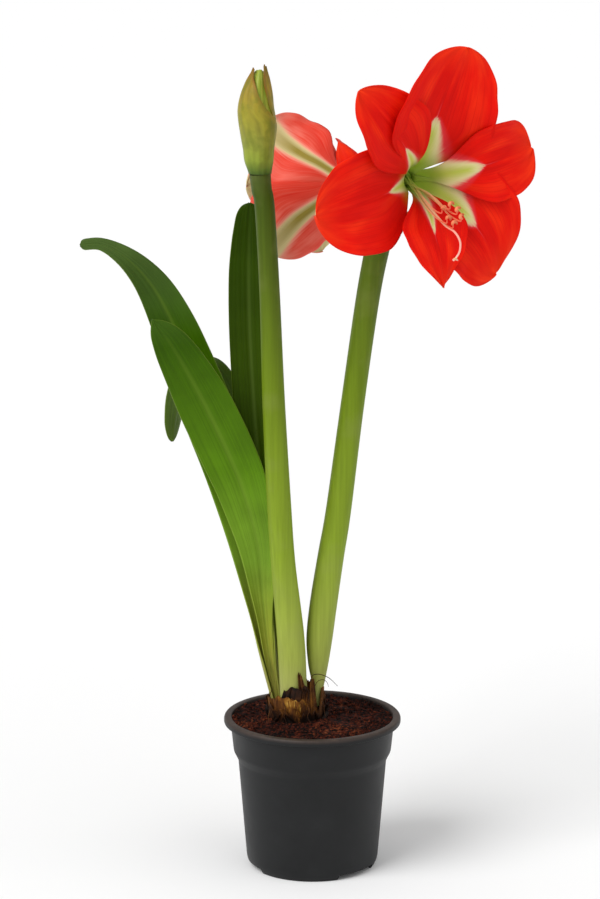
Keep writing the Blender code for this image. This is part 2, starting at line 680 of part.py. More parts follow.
def tepal_place(tepal, arms, foot, forward, up, right):
    """The surface of one tepal: a midrib that leaves the throat and bends back, and its blade."""
    lean = math.radians(tepal["lean"])
    tip_lean = math.radians(tepal["tip_lean"])
    root = Vector((TEPAL_ROOT_RADIUS, TEPAL_ROOT_DEPTH))
    throat = Vector((TEPAL_ROOT_RADIUS, TUBE_LENGTH))
    lower = throat + arms[0] * Vector((math.sin(lean), math.cos(lean)))
    tip = Vector((tepal["reach"], tepal["rise"]))
    upper = tip - arms[1] * Vector((math.sin(tip_lean), math.cos(tip_lean)))

    def place(across, share):
        v = math.sin(share * math.pi / 2.0)
        w = 1.0 - v
        spot = w**3 * root + 3 * w * w * v * lower + 3 * w * v * v * upper + v**3 * tip
        run = 3 * w * w * (lower - root) + 6 * w * v * (upper - lower) + 3 * v * v * (tip - upper)
        run.normalize()
        turn = math.radians(tepal["turn"] + tepal["skew"] * v * v)
        outward = math.cos(turn) * up + math.sin(turn) * right
        around = math.cos(turn) * right - math.sin(turn) * up
        inner = run[0] * forward - run[1] * outward
        blade = 0.14 + 0.86 * eased(0.03, 0.60, v)
        half_width = tepal["half_width"] * blade * (1.0 - v ** tepal["round"]) ** tepal["blunt"]
        half_width = max(half_width, 0.0010)
        tube = 1.0 - eased(0.05, 0.45, v)
        bend = tube / max(spot[0], 0.004) + (1.0 - tube) / tepal["hollow"]
        angle = across * half_width * bend
        lift = (1.0 - math.cos(angle)) / bend
        side = 0.21 if across > 0 else -0.21
        wave = math.sin(2.0 * math.pi * (2.0 * v + side)) * eased(0.3, 0.7, v)
        lift += TEPAL_WAVE * abs(across) ** 2.2 * wave
        middle = foot + spot[0] * outward + spot[1] * forward
        return middle + around * math.sin(angle) / bend + inner * lift

    return place


def add_bloom(name, tepals, arms, foot, yaw, pitch):
    """Six tepals in two rings of three, grown together into a short tube."""
    foot = Vector(foot)
    forward, up, right = flower_frame(yaw, pitch)
    shape = bmesh.new()
    bmesh.ops.create_cone(
        shape,
        cap_ends=True,
        segments=16,
        radius1=TUBE_RADIUS * 0.8,
        radius2=TUBE_RADIUS,
        depth=TUBE_LENGTH,
    )
    turned = forward.to_track_quat("Z", "Y").to_matrix().to_4x4()
    middle = Matrix.Translation(foot + forward * (TUBE_LENGTH / 2 + GAP))
    bmesh.ops.transform(shape, matrix=middle @ turned, verts=shape.verts)
    tube = bpy.data.meshes.new("tube")
    shape.to_mesh(tube)
    shape.free()
    meshes = [tube]
    for values in tepals:
        tepal = dict(zip(TEPAL_KEYS, values))
        place = tepal_place(tepal, arms, foot, forward, up, right)
        meshes.append(solid_sheet(8, 10, place, TEPAL_THICKNESS))
    fuse(name, meshes, finish(name, TEPAL_RED, 0.45))


def add_stamens(name, foot, yaw, pitch, length):
    """Six filaments with anthers and one style, rooted in the throat and bending down."""
    forward, up, right = flower_frame(yaw, pitch)
    throat = Vector(foot) + forward * (TUBE_LENGTH + 0.0008)
    shape = bmesh.new()
    bmesh.ops.create_cone(shape, cap_ends=True, segments=12, radius1=0.0034, radius2=0.0034, depth=0.0016)
    turned = forward.to_track_quat("Z", "Y").to_matrix().to_4x4()
    bmesh.ops.transform(shape, matrix=Matrix.Translation(throat + forward * 0.0006) @ turned, verts=shape.verts)
    root = bpy.data.meshes.new("root")
    shape.to_mesh(root)
    shape.free()

    def local(point):
        return throat + (right * point[0] + up * point[1] + forward * point[2]) * length

    meshes = [root]
    for index in range(FILAMENTS):
        turn = 2.0 * math.pi * index / FILAMENTS
        ring = Vector((0.0021 * math.cos(turn), 0.0021 * math.sin(turn), 0.0004))
        sway = 0.0015 * (-1) ** index
        end = Vector((-0.0050 + 0.0031 * index, -0.0220 + 0.0019 * index + sway, 0.0620 + 0.0012 * index))
        pull = Vector((end.x * 0.5, -0.0130, 0.0380))
        stations = []
        for step in range(FILAMENT_STEPS + 1):
            t = step / FILAMENT_STEPS
            spot = (1 - t) ** 2 * ring + 2 * (1 - t) * t * pull + t * t * end
            lift = 0.0035 * eased(0.75, 1.0, t)
            spot = spot + Vector((0.0, lift, 0.0))
            radius = ANTHER_RADIUS if step == FILAMENT_STEPS else FILAMENT_RADIUS
            stations.append((*local(spot), radius))
        tip = local(end + Vector((0.0022, 0.0052, 0.0010)))
        stations.append((*tip, ANTHER_RADIUS * 0.7))
        meshes.append(tube_mesh(stations, 1))
    style = (
        (0.0000, -0.0003, 0.0004),
        (0.0005, -0.0040, 0.0180),
        (0.0010, -0.0110, 0.0380),
        (0.0010, -0.0210, 0.0560),
        (0.0010, -0.0310, 0.0625),
        (0.0016, -0.0400, 0.0620),
        (0.0022, -0.0450, 0.0590),
    )
    stations = smooth_stations(style, 9)
    meshes.append(tube_mesh([(*local(Vector(point)), STYLE_RADIUS) for point in stations], 1))
    fuse(name, meshes, finish(name, (0.800, 0.350, 0.220), 0.5))


def bud_radius(share):
    """Outer radius of the closed bud, from its foot to its tip."""
    stations = ((0.0071,), (0.0124,), (0.0137,), (0.0135,), (0.0115,), (0.0080,), (0.0050,))
    return along(stations, share)[0]


def bract_place(turn_low, turn_high, span, stand_off, top):
    """One valve of the bud's sheath: a boat-shaped bract with a pointed tip."""

    def place(across, share):
        height = BUD_FOOT + (top - BUD_FOOT) * share
        middle = math.radians(turn_low + (turn_high - turn_low) * share * share)
        close = 1.0 - eased(0.35, 1.0, share) ** 1.2 * 0.985
        angle = middle + across * math.radians(span) * close
        radius = bud_radius(share) + stand_off
        lean = -0.0012 * math.sin(math.pi * share)
        return Vector((BUD_X + lean + radius * math.cos(angle), BUD_Y + radius * math.sin(angle), height))

    return place


def add_left_bud():
    """The closed umbel on the left stem: green flower buds held by two bracts."""
    profile = [(0.0, 0.5868), (0.0022, 0.5850)]
    for share in (0.85, 0.72, 0.60, 0.48, 0.36, 0.24, 0.12, 0.0):
        radius = bud_radius(share) - 0.0030 - 0.0020 * eased(0.5, 1.0, share)
        profile.append((radius, BUD_FOOT + 0.0700 * share))
    profile.append((0.0, BUD_FOOT))
    mesh = turned_mesh(profile, 18, (BUD_X - 0.0008, BUD_Y))
    add_object("bud_inner", mesh, finish("bud_inner", (0.300, 0.420, 0.080), 0.45))
    bracts = (
        ("bract_left", 238.0, 196.0, 104.0, 0.0005, 0.5885),
        ("bract_right", 58.0, 12.0, 104.0, -0.0009, 0.5915),
    )
    for name, turn_low, turn_high, span, stand_off, top in bracts:
        place = bract_place(turn_low, turn_high, span, stand_off, top)
        mesh = sheet_mesh(8, 11, place)
        bmesh_flip(mesh)
        piece = add_object(name, mesh, finish(name, BRACT_OLIVE, 0.5))
        thicken(piece, BRACT_THICKNESS)


def bmesh_flip(mesh):
    """Turn a sheet's faces to its other side."""
    shape = bmesh.new()
    shape.from_mesh(mesh)
    bmesh.ops.reverse_faces(shape, faces=shape.faces)
    shape.to_mesh(mesh)
    shape.free()


def add_red_bud():
    """The third flower, still closed, pointed at its tip, on its own stalk."""
    foot = Vector(RED_BUD_FOOT)
    tip = Vector(RED_BUD_TIP)
    length = (tip - foot).length
    shares = (1.0, 0.96, 0.86, 0.70, 0.52, 0.34, 0.18, 0.06, 0.0)
    radii = (0.0, 0.10, 0.42, 0.80, 1.00, 0.98, 0.78, 0.52, 0.40)
    profile = [(RED_BUD_RADIUS * radius, length * share) for share, radius in zip(shares, radii)]
    profile.append((0.0, 0.0))
    mesh = turned_mesh(profile, 18)
    turned = (tip - foot).to_track_quat("Z", "Y").to_matrix().to_4x4()
    mesh.transform(Matrix.Translation(foot) @ turned)
    add_object("red_bud", mesh, finish("red_bud", TEPAL_RED, 0.45))
    mesh = tube_mesh(upright_ends(smooth_stations(RED_BUD_STALK, 6), True, False))
    add_object("red_bud_stalk", mesh, finish("red_bud_stalk", STEM_GREEN, 0.5))


def add_stems():
    """The two thick flower stems and the stalks of the open blooms."""
    tubes = (
        ("scape_left", SCAPE_LEFT, 20, 4, True),
        ("scape_right", SCAPE_RIGHT, 22, 4, True),
        ("front_stalk", FRONT_PEDICEL, 14, 3, False),
        ("back_stalk", BACK_PEDICEL, 14, 3, False),
    )
    for name, stations, spans, sides_level, top_upright in tubes:
        mesh = tube_mesh(upright_ends(smooth_stations(stations, spans), True, top_upright), sides_level)
        add_object(name, mesh, finish(name, STEM_GREEN, 0.5))


def add_leaves():
    """Four strap leaves from the left of the neck, and the two dry bracts of the right stem."""
    leaves = (
        ("leaf_arching", LEAF_ARCHING, LEAF_ARCHING_SIDE),
        ("leaf_front", LEAF_FRONT, LEAF_FRONT_SIDE),
        ("leaf_upright", LEAF_UPRIGHT, LEAF_UPRIGHT_SIDE),
        ("leaf_bent", LEAF_BENT, LEAF_BENT_SIDE),
    )
    for name, stations, sides in leaves:
        add_leaf(name, stations, sides, LEAF_GREEN)
    add_leaf("dry_bract_back", DRY_BRACT_BACK, ((-1.0, 0.2, 0.0),) * 2, PAPER_BROWN, 4, 3, BRACT_THICKNESS)
    add_leaf("dry_bract_right", DRY_BRACT_RIGHT, ((-0.3, 1.0, 0.0),) * 2, PAPER_BROWN, 4, 3, BRACT_THICKNESS)


add_pot()
add_bulb()
add_soil()
add_tunic()
add_leaves()
add_stems()
add_left_bud()
add_red_bud()
add_bloom("bloom_front", FRONT_TEPALS, FRONT_ARMS, FRONT_BLOOM_FOOT, FRONT_BLOOM_YAW, FRONT_BLOOM_PITCH)
add_bloom("bloom_back", BACK_TEPALS, BACK_ARMS, BACK_BLOOM_FOOT, BACK_BLOOM_YAW, BACK_BLOOM_PITCH)
add_stamens("stamens_front", FRONT_BLOOM_FOOT, FRONT_BLOOM_YAW, FRONT_BLOOM_PITCH, 1.0)
add_stamens("stamens_back", BACK_BLOOM_FOOT, BACK_BLOOM_YAW, BACK_BLOOM_PITCH, 0.9)
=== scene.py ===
"""An amaryllis in bloom in its nursery pot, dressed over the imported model.

The sections follow the plant as it is put together: pot, potting mix, leaves, flower stems, dry
scales, closed bud, flower stalks, blooms, closed flower, withered bracts and stamens. Everything
is in metres, +Z up, and the side that faces the camera is -Y.
"""

import math

import bmesh
import bpy
from mathutils import Matrix, Vector, noise


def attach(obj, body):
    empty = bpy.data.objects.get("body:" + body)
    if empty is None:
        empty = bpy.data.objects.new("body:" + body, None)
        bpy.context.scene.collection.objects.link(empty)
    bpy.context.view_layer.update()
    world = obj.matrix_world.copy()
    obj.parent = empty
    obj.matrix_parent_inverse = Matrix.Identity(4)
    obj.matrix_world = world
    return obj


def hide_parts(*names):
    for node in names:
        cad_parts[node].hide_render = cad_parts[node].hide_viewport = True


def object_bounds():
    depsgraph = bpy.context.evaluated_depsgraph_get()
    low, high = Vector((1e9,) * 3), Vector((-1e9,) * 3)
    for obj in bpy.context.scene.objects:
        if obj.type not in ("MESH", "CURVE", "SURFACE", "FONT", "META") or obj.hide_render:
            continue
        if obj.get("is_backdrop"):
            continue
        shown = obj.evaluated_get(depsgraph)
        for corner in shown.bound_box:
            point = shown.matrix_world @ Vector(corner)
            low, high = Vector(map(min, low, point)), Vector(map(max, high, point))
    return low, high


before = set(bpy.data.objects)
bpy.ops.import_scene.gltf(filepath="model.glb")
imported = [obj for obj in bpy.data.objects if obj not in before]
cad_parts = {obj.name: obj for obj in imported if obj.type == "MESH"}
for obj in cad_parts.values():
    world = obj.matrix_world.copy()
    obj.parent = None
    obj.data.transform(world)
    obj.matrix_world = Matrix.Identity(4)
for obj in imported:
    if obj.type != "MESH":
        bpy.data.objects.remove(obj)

cad_low, cad_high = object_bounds()

# Camera: a long lens a little above the blooms, looking down at the pot. Soft light from all
# sides with two wide suns, and a pale floor that runs on far behind the plant.
CAMERA_PLACE = (-0.0091, -2.2, 0.785)
CAMERA_TILT = math.radians(77.88)
CAMERA_LENS = 124.7
CAMERA_SENSOR = 36.0
CAMERA_REACH = 100.0
FLOOR_SIZE = 60.0
SKY_STRENGTH = 0.53
# Turn in degrees, strength, and how wide the sun is in degrees
SUNS = {
    "sun_key": ((46.0, -12.0, -38.0), 2.2, 40.0),
    "sun_fill": ((56.0, 0.0, 55.0), 0.6, 70.0),
}

camera_data = bpy.data.cameras.new("camera")
camera_data.lens = CAMERA_LENS
camera_data.sensor_width = CAMERA_SENSOR
camera_data.clip_end = CAMERA_REACH
camera = bpy.data.objects.new("camera", camera_data)
camera.location = CAMERA_PLACE
camera.rotation_euler = (CAMERA_TILT, 0.0, 0.0)
bpy.context.scene.collection.objects.link(camera)
bpy.context.scene.camera = camera
bpy.context.scene.view_settings.view_transform = "Standard"


def to_linear(colour):
    """A hex colour such as 2D2E30 as linear red, green, blue and 1."""
    parts = [int(colour[index : index + 2], 16) / 255.0 for index in (0, 2, 4)]
    return (
        *[part / 12.92 if part <= 0.04045 else ((part + 0.055) / 1.055) ** 2.4 for part in parts],
        1.0,
    )


def feed(node, inputs):
    """Set a node's inputs. Each takes a value, a hex colour or the output of another node."""
    for socket, value in inputs.items():
        if isinstance(value, bpy.types.NodeSocket):
            node.id_data.links.new(value, node.inputs[socket])
        elif isinstance(value, str):
            node.inputs[socket].default_value = to_linear(value)
        else:
            node.inputs[socket].default_value = value


def add_node(tree, kind, inputs=None, stops=(), output=None, **settings):
    """Add a node with its settings, inputs and colour stops. Gives its first or named output."""
    node = tree.nodes.new("ShaderNode" + kind)
    for name, value in settings.items():
        setattr(node, name, value)
    feed(node, inputs or {})
    if stops:
        ramp = node.color_ramp
        while len(ramp.elements) < len(stops):
            ramp.elements.new(1.0)
        for element, (place, colour) in zip(ramp.elements, stops):
            element.position = place
            element.color = to_linear(colour)
    if output:
        return node.outputs[output]
    return next(socket for socket in node.outputs if socket.enabled)


def new_finish(name):
    """A material, its node tree and its Principled shader."""
    material = bpy.data.materials.new(name)
    material.use_nodes = True
    return material, material.node_tree, material.node_tree.nodes["Principled BSDF"]


def pick(*pieces):
    """Select these pieces alone, with the first one active."""
    bpy.ops.object.select_all(action="DESELECT")
    for piece in pieces:
        piece.select_set(True)
    if pieces:
        bpy.context.view_layer.objects.active = pieces[0]


# Painted floor: matt and nearly white.
floor_paint, _, shader = new_finish("white_sweep")
feed(shader, {"Base Color": "F6F6F6", "Roughness": 0.9})
pick()
bpy.ops.mesh.primitive_plane_add(size=FLOOR_SIZE)
floor = bpy.context.object
floor.name = "floor"
floor.data.materials.append(floor_paint)
floor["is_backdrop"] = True

for name, (turn, strength, width) in SUNS.items():
    sun = bpy.data.lights.new(name, "SUN")
    sun.energy = strength
    sun.angle = math.radians(width)
    lamp = bpy.data.objects.new(name, sun)
    lamp.rotation_euler = [math.radians(angle) for angle in turn]
    bpy.context.scene.collection.objects.link(lamp)

sky = bpy.data.worlds.new("studio")
bpy.context.scene.world = sky
sky.use_nodes = True
feed(sky.node_tree.nodes["Background"], {"Color": "FFFFFF", "Strength": SKY_STRENGTH})

# Pot: a thin round nursery pot of black polypropylene, injection moulded in one piece, with a
# rolled lip, a wider collar and a raised ring in its floor that drains through six holes.
POT_TOP = 0.1130
POT_SIDES = 144
# Radius and height, from the middle of the inner floor over the lip and down to the foot
POT_OUTLINE = (
    (0.0325, 0.0015), (0.0336, 0.0050), (0.0344, 0.0057), (0.0450, 0.0057), (0.0468, 0.0066),
    (0.0473, 0.0084), (0.0532, 0.0795), (0.0564, 0.0870), (0.0587, 0.1080), (0.0592, 0.1115),
    (0.0595, 0.1124), (0.0602, 0.1129), (0.0610, 0.1130), (0.0632, 0.1130), (0.0641, 0.1127),
    (0.0647, 0.1120), (0.0650, 0.1110), (0.0650, 0.1092), (0.0648, 0.1085), (0.0642, 0.1081),
    (0.0612, 0.1078), (0.0604, 0.1074), (0.0600, 0.1064), (0.0581, 0.0882), (0.0578, 0.0868),
    (0.0572, 0.0855), (0.0562, 0.0836), (0.0556, 0.0822), (0.0549, 0.0808), (0.0547, 0.0800),
    (0.0544, 0.0780), (0.0487, 0.0075), (0.0484, 0.0055), (0.0477, 0.0030), (0.0466, 0.0008),
    (0.0461, 0.0001), (0.0456, 0.0), (0.0442, 0.0), (0.0442, 0.0042), (0.0346, 0.0042),
    (0.0338, 0.0034), (0.0330, 0.0004), (0.0326, 0.0),
)
NOTCH_TURNS = (76.0, 196.0, 316.0)
NOTCH_REACH = 0.0476
NOTCH_DEPTH = 0.020
NOTCH_WIDTH = 0.0352
NOTCH_HEIGHT = 0.0038
NOTCH_BELOW = 0.002
DRAIN_HOLES = 6
DRAIN_SIDES = 24
DRAIN_RADIUS = 0.0032
DRAIN_CIRCLE = 0.0395
DRAIN_LENGTH = 0.012
DRAIN_HEIGHT = 0.005
POT_SMOOTH = 28.0


def apply_modifier(piece, modifier):
    """Make a modifier's result the piece's own mesh."""
    pick(piece)
    bpy.ops.object.modifier_apply(modifier=modifier.name)


def cut(piece, cutter):
    """Cut a closed shape out of a piece."""
    hole = piece.modifiers.new("cut", "BOOLEAN")
    hole.operation = "DIFFERENCE"
    hole.object = cutter
    apply_modifier(piece, hole)
    bpy.data.objects.remove(cutter, do_unlink=True)


def settle(piece, name, material=None, angle=None):
    """Name a finished piece, give it its material, and shade it smooth."""
    piece.name = name
    piece.data.name = name
    if material:
        piece.data.materials.clear()
        piece.data.materials.append(material)
    pick(piece)
    bpy.ops.object.transform_apply(location=True, rotation=True, scale=True)
    if angle:
        bpy.ops.object.shade_smooth_by_angle(angle=math.radians(angle))
    else:
        bpy.ops.object.shade_smooth()
    return piece


first_radius, first_height = POT_OUTLINE[0]
pick()
bpy.ops.mesh.primitive_circle_add(
    vertices=POT_SIDES, radius=first_radius, fill_type="TRIFAN", location=(0.0, 0.0, first_height)
)
pot = bpy.context.object
bpy.ops.object.mode_set(mode="EDIT")
bpy.ops.mesh.select_mode(type="EDGE")
bpy.ops.mesh.select_all(action="DESELECT")
bpy.ops.mesh.select_non_manifold()
for (last_radius, last_height), (radius, height) in zip(POT_OUTLINE, POT_OUTLINE[1:]):
    bpy.ops.mesh.extrude_edges_indiv()
    ratio = radius / last_radius
    bpy.ops.transform.resize(value=(ratio, ratio, 1.0), center_override=(0.0, 0.0, last_height))
    bpy.ops.transform.translate(value=(0.0, 0.0, height - last_height))
bpy.ops.mesh.extrude_edges_indiv()
bpy.ops.mesh.merge(type="CENTER")
bpy.ops.mesh.select_all(action="SELECT")
bpy.ops.mesh.normals_make_consistent(inside=False)
bpy.ops.object.mode_set(mode="OBJECT")
settle(pot, "pot_body")

for turn in NOTCH_TURNS:
    angle = math.radians(turn)
    x, y = NOTCH_REACH * math.cos(angle), NOTCH_REACH * math.sin(angle)
    pick()
    bpy.ops.mesh.primitive_cube_add(
        size=1.0,
        location=(x, y, (NOTCH_HEIGHT - NOTCH_BELOW) / 2.0),
        rotation=(0.0, 0.0, angle),
        scale=(NOTCH_DEPTH, NOTCH_WIDTH, NOTCH_HEIGHT + NOTCH_BELOW),
    )
    cut(pot, bpy.context.object)
for index in range(DRAIN_HOLES):
    angle = math.radians(360.0 * index / DRAIN_HOLES + NOTCH_TURNS[0])
    x, y = DRAIN_CIRCLE * math.cos(angle), DRAIN_CIRCLE * math.sin(angle)
    pick()
    bpy.ops.mesh.primitive_cylinder_add(
        vertices=DRAIN_SIDES, radius=DRAIN_RADIUS, depth=DRAIN_LENGTH, location=(x, y, DRAIN_HEIGHT)
    )
    cut(pot, bpy.context.object)


def over(value, span, results):
    """What a Map Range node takes: a value, the span that it runs over, and what comes of it."""
    sockets = ("From Min", "From Max", "To Min", "To Max")
    return {"Value": value, **dict(zip(sockets, (*span, *results)))}


def add_tint(tree, colour, tint, value, span, shares, mask=None, smooth=False):
    """Blend a tint into a colour, by shares that follow a value over its span, under a mask."""
    kind = "SMOOTHSTEP" if smooth else "LINEAR"
    share = add_node(tree, "MapRange", over(value, span, shares), interpolation_type=kind)
    if mask is not None:
        share = add_node(tree, "Math", {0: share, 1: mask}, operation="MULTIPLY")
    return add_node(tree, "Mix", {"Factor": share, "A": colour, "B": tint}, data_type="RGBA")


def dress(tree, shader, colour, roughness, specular, ior=None, bump=None):
    """End a finish: its colour, its gloss, and a bump of a pattern, a strength and a height."""
    feed(shader, {"Base Color": colour, "Roughness": roughness, "Specular IOR Level": specular})
    if ior:
        feed(shader, {"IOR": ior})
    if bump:
        relief = {"Height": bump[0], "Strength": bump[1], "Distance": bump[2]}
        feed(shader, {"Normal": add_node(tree, "Bump", relief)})


# Moulded polypropylene, coloured through: matt from the mould's grain, with a brown band in patches on
# the lip that is partly a thin film of dried soil and partly a painted reflection of the soil.
pot_plastic, tree, shader = new_finish("moulded_polypropylene")
place = add_node(tree, "TexCoord", output="Object")
height = add_node(tree, "SeparateXYZ", {"Vector": place}, output="Z")
cloud = add_node(
    tree, "TexNoise", {"Vector": place, "Scale": 34.0, "Detail": 5.0, "Roughness": 0.6}
)
black = add_node(
    tree, "ValToRGB", {"Fac": cloud}, ((0.30, "121314"), (0.55, "18191A"), (0.75, "1F2021"))
)
# Patches for the brown band on the lip: dried soil dust, and a painted reflection of the soil.
soil_dust_and_reflection = add_node(
    tree, "TexNoise", {"Vector": place, "Scale": 190.0, "Detail": 4.0, "Roughness": 0.7}
)
lip = (POT_TOP - 0.0030, POT_TOP - 0.0002)
lip_dust_and_reflection = add_tint(tree, black, "5E4C42", height, lip, (0.0, 0.75), mask=soil_dust_and_reflection)
grain = add_node(tree, "TexNoise", {"Vector": place, "Scale": 1400.0, "Detail": 2.0})
shine = add_node(tree, "MapRange", over(cloud, (0.3, 0.7), (0.42, 0.56)))
dress(tree, shader, lip_dust_and_reflection, shine, 0.24, 1.49, (grain, 0.16, 0.0002))
settle(pot, "pot_body", pot_plastic, POT_SMOOTH)
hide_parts("pot")
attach(pot, "root")

# Potting mix: loose coir and composted bark, filled to just under the lip. The packed soil
# keeps its shape and takes the same finish under a rough layer of crumbs and fibres.
MIX_HEIGHT = 0.1104
MIX_RADIUS = 0.0597
MIX_EDGE = 0.985
MIX_DEPTH = 0.0060
MIX_CELLS = 130
# The mix heaps up at the bulb, in lumps about 14 mm across
HEAP_HEIGHT = 0.0034
HEAP_WIDTH = 0.030
LUMP_HEIGHT = 0.0020
LUMP_SCALE = 70.0
BULB_X = -0.0113
# Crumbs and fibres lie anywhere but close to the bulb, each a little larger by chance
CRUMBS = 1500
CRUMB_CLEAR = 0.018
CRUMB_SIZE = 0.0004
CRUMB_GROWTH = 0.0013
FIBRES = 900
FIBRE_REACH = 0.96
FIBRE_CLEAR = 0.020
FIBRE_LENGTH = 0.0025
FIBRE_GROWTH = 0.0060
FIBRE_RADIUS = 0.00012
FIBRE_SPREAD = 0.00016
MIX_SMOOTH = 60.0

# Coir and bark: damp, dark reddish brown and matt, in bits about 2 mm across, with a few paler
# chips, and rough at 1 mm.
potting_mix, tree, shader = new_finish("coir_and_bark")
place = add_node(tree, "TexCoord", output="Object")
patches = add_node(
    tree, "TexNoise", {"Vector": place, "Scale": 30.0, "Detail": 3.0, "Roughness": 0.6}
)
bits = add_node(
    tree, "TexVoronoi", {"Vector": place, "Scale": 620.0, "Randomness": 1.0}, output="Color"
)
mixed = add_node(tree, "Math", {0: bits, 1: patches}, operation="MULTIPLY")
browns = ((0.0, "060404"), (0.17, "120907"), (0.28, "2C110A"), (0.40, "481A0D"), (0.60, "6E3A20"))
rough = add_node(tree, "TexNoise", {"Vector": place, "Scale": 900.0, "Detail": 3.0})
brown = add_node(tree, "ValToRGB", {"Fac": mixed}, browns)
dress(tree, shader, brown, 0.92, 0.12, bump=(rough, 0.8, 0.0006))
soil_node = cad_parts["soil"]
soil_node.data.materials.clear()
soil_node.data.materials.append(potting_mix)


def mix_level(x, y):
    """Height of the mix: it rises a little to the bulb, with lumps of a few millimetres."""
    from_bulb = math.hypot(x - BULB_X, y)
    lumps = noise.fractal(Vector((x * LUMP_SCALE, y * LUMP_SCALE, 3.0)), 0.7, 2.1, 4)
    heap = HEAP_HEIGHT * math.exp(-((from_bulb / HEAP_WIDTH) ** 2))
    return MIX_HEIGHT + heap + LUMP_HEIGHT * lumps


pick()
bpy.ops.mesh.primitive_grid_add(x_subdivisions=MIX_CELLS, y_subdivisions=MIX_CELLS, size=2.0)
mix_top = bpy.context.object
for point in mix_top.data.vertices:
    across, back = point.co.x, point.co.y
    x = MIX_RADIUS * across * math.sqrt(1.0 - back * back / 2.0)
    y = MIX_RADIUS * back * math.sqrt(1.0 - across * across / 2.0)
    point.co = (x, y, mix_level(x, y))
mix_shape = bmesh.new()
mix_shape.from_mesh(mix_top.data)
rim_edges = [edge for edge in mix_shape.edges if edge.is_boundary]
grown = bmesh.ops.extrude_edge_only(mix_shape, edges=rim_edges)["geom"]
for item in grown:
    if isinstance(item, bmesh.types.BMVert):
        item.co = (item.co.x * MIX_EDGE, item.co.y * MIX_EDGE, MIX_HEIGHT - MIX_DEPTH)
lower_edges = [item for item in grown if isinstance(item, bmesh.types.BMEdge)]
bmesh.ops.contextual_create(mix_shape, geom=lower_edges)


def random_number(seed):
    """A repeatable number from 0 to 1."""
    value = math.sin(seed * 12.9898 + 4.1414) * 43758.5453
    return value - math.floor(value)


def scatter(count, reach, clear, first, step):
    """Places on the mix, clear of the bulb, each with its index and the seed of its numbers."""
    for index in range(count):
        seed = index * step + first
        radius = reach * math.sqrt(random_number(seed))
        turn = 2.0 * math.pi * random_number(seed + 1.0)
        x, y = radius * math.cos(turn), radius * math.sin(turn)
        if math.hypot(x - BULB_X, y) >= clear:
            yield index, seed, x, y


for index, seed, x, y in scatter(CRUMBS, MIX_RADIUS * MIX_EDGE, CRUMB_CLEAR, 1.0, 5.0):
    size = CRUMB_SIZE + CRUMB_GROWTH * random_number(seed + 2.0) ** 3
    matrix = Matrix.Translation((x, y, mix_level(x, y) + size * 0.3))
    matrix @= Matrix.Rotation(6.3 * random_number(index + 0.5), 4, (0.3, 0.5, 0.8))
    width = size * (0.6 + 0.5 * random_number(index * 3.0))
    matrix @= Matrix.Diagonal((size, width, size * 0.6, 1.0))
    bmesh.ops.create_icosphere(mix_shape, subdivisions=1, radius=1.0, matrix=matrix)
for index, seed, x, y in scatter(FIBRES, MIX_RADIUS * FIBRE_REACH, FIBRE_CLEAR, 21.0, 7.0):
    length = FIBRE_LENGTH + FIBRE_GROWTH * random_number(seed + 2.0) ** 2
    heading = 2.0 * math.pi * random_number(seed + 3.0)
    rise = 0.35 * (random_number(seed + 4.0) - 0.3)
    thick = FIBRE_RADIUS + FIBRE_SPREAD * random_number(seed + 5.0)
    rows = []
    for step in range(4):
        t = step / 3.0
        bow = 0.25 * length * math.sin(math.pi * t) * (random_number(index + 0.7) - 0.5)
        px = x + length * (t - 0.5) * math.cos(heading) - bow * math.sin(heading)
        py = y + length * (t - 0.5) * math.sin(heading) + bow * math.cos(heading)
        if math.hypot(px, py) > MIX_RADIUS * MIX_EDGE:
            shrink = MIX_RADIUS * MIX_EDGE / math.hypot(px, py)
            px, py = px * shrink, py * shrink
        pz = mix_level(px, py) + thick + 0.0004 + rise * length * t * t
        corners = [
            (px + thick * math.cos(side), py + thick * math.sin(side), pz)
            for side in (heading + 1.57, heading - 1.57)
        ]
        corners.append((px, py, pz + thick * 1.5))
        rows.append([mix_shape.verts.new(corner) for corner in corners])
    for upper, lower in zip(rows, rows[1:]):
        for side in range(3):
            other = (side + 1) % 3
            mix_shape.faces.new((upper[side], upper[other], lower[other], lower[side]))
    mix_shape.faces.new(rows[0])
    mix_shape.faces.new(list(reversed(rows[-1])))
bmesh.ops.recalc_face_normals(mix_shape, faces=mix_shape.faces)
mix_shape.to_mesh(mix_top.data)
mix_shape.free()
settle(mix_top, "mix_top", potting_mix, MIX_SMOOTH)
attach(mix_top, "root")

# Leaves: four thick straps from one side of the bulb, smooth and a little waxy, with a channel
# along the midrib. They are pale where they leave the bulb and dark where they have had light.
LEAF_THICKNESS = 0.0019
LEAF_EDGE = 0.32
LEAF_COLUMNS = 28
LEAF_ROWS = 9
LEAF_LEAST = 0.0007
LEAF_LEVELS = (0.120, 0.460)
CHANNEL_DEPTH = 0.0005
CHANNEL_WIDTH = 0.10
FLUTE_HEIGHT = 0.00012
FLUTE_SCALE = 26.0
CURVE_STEP = 0.01
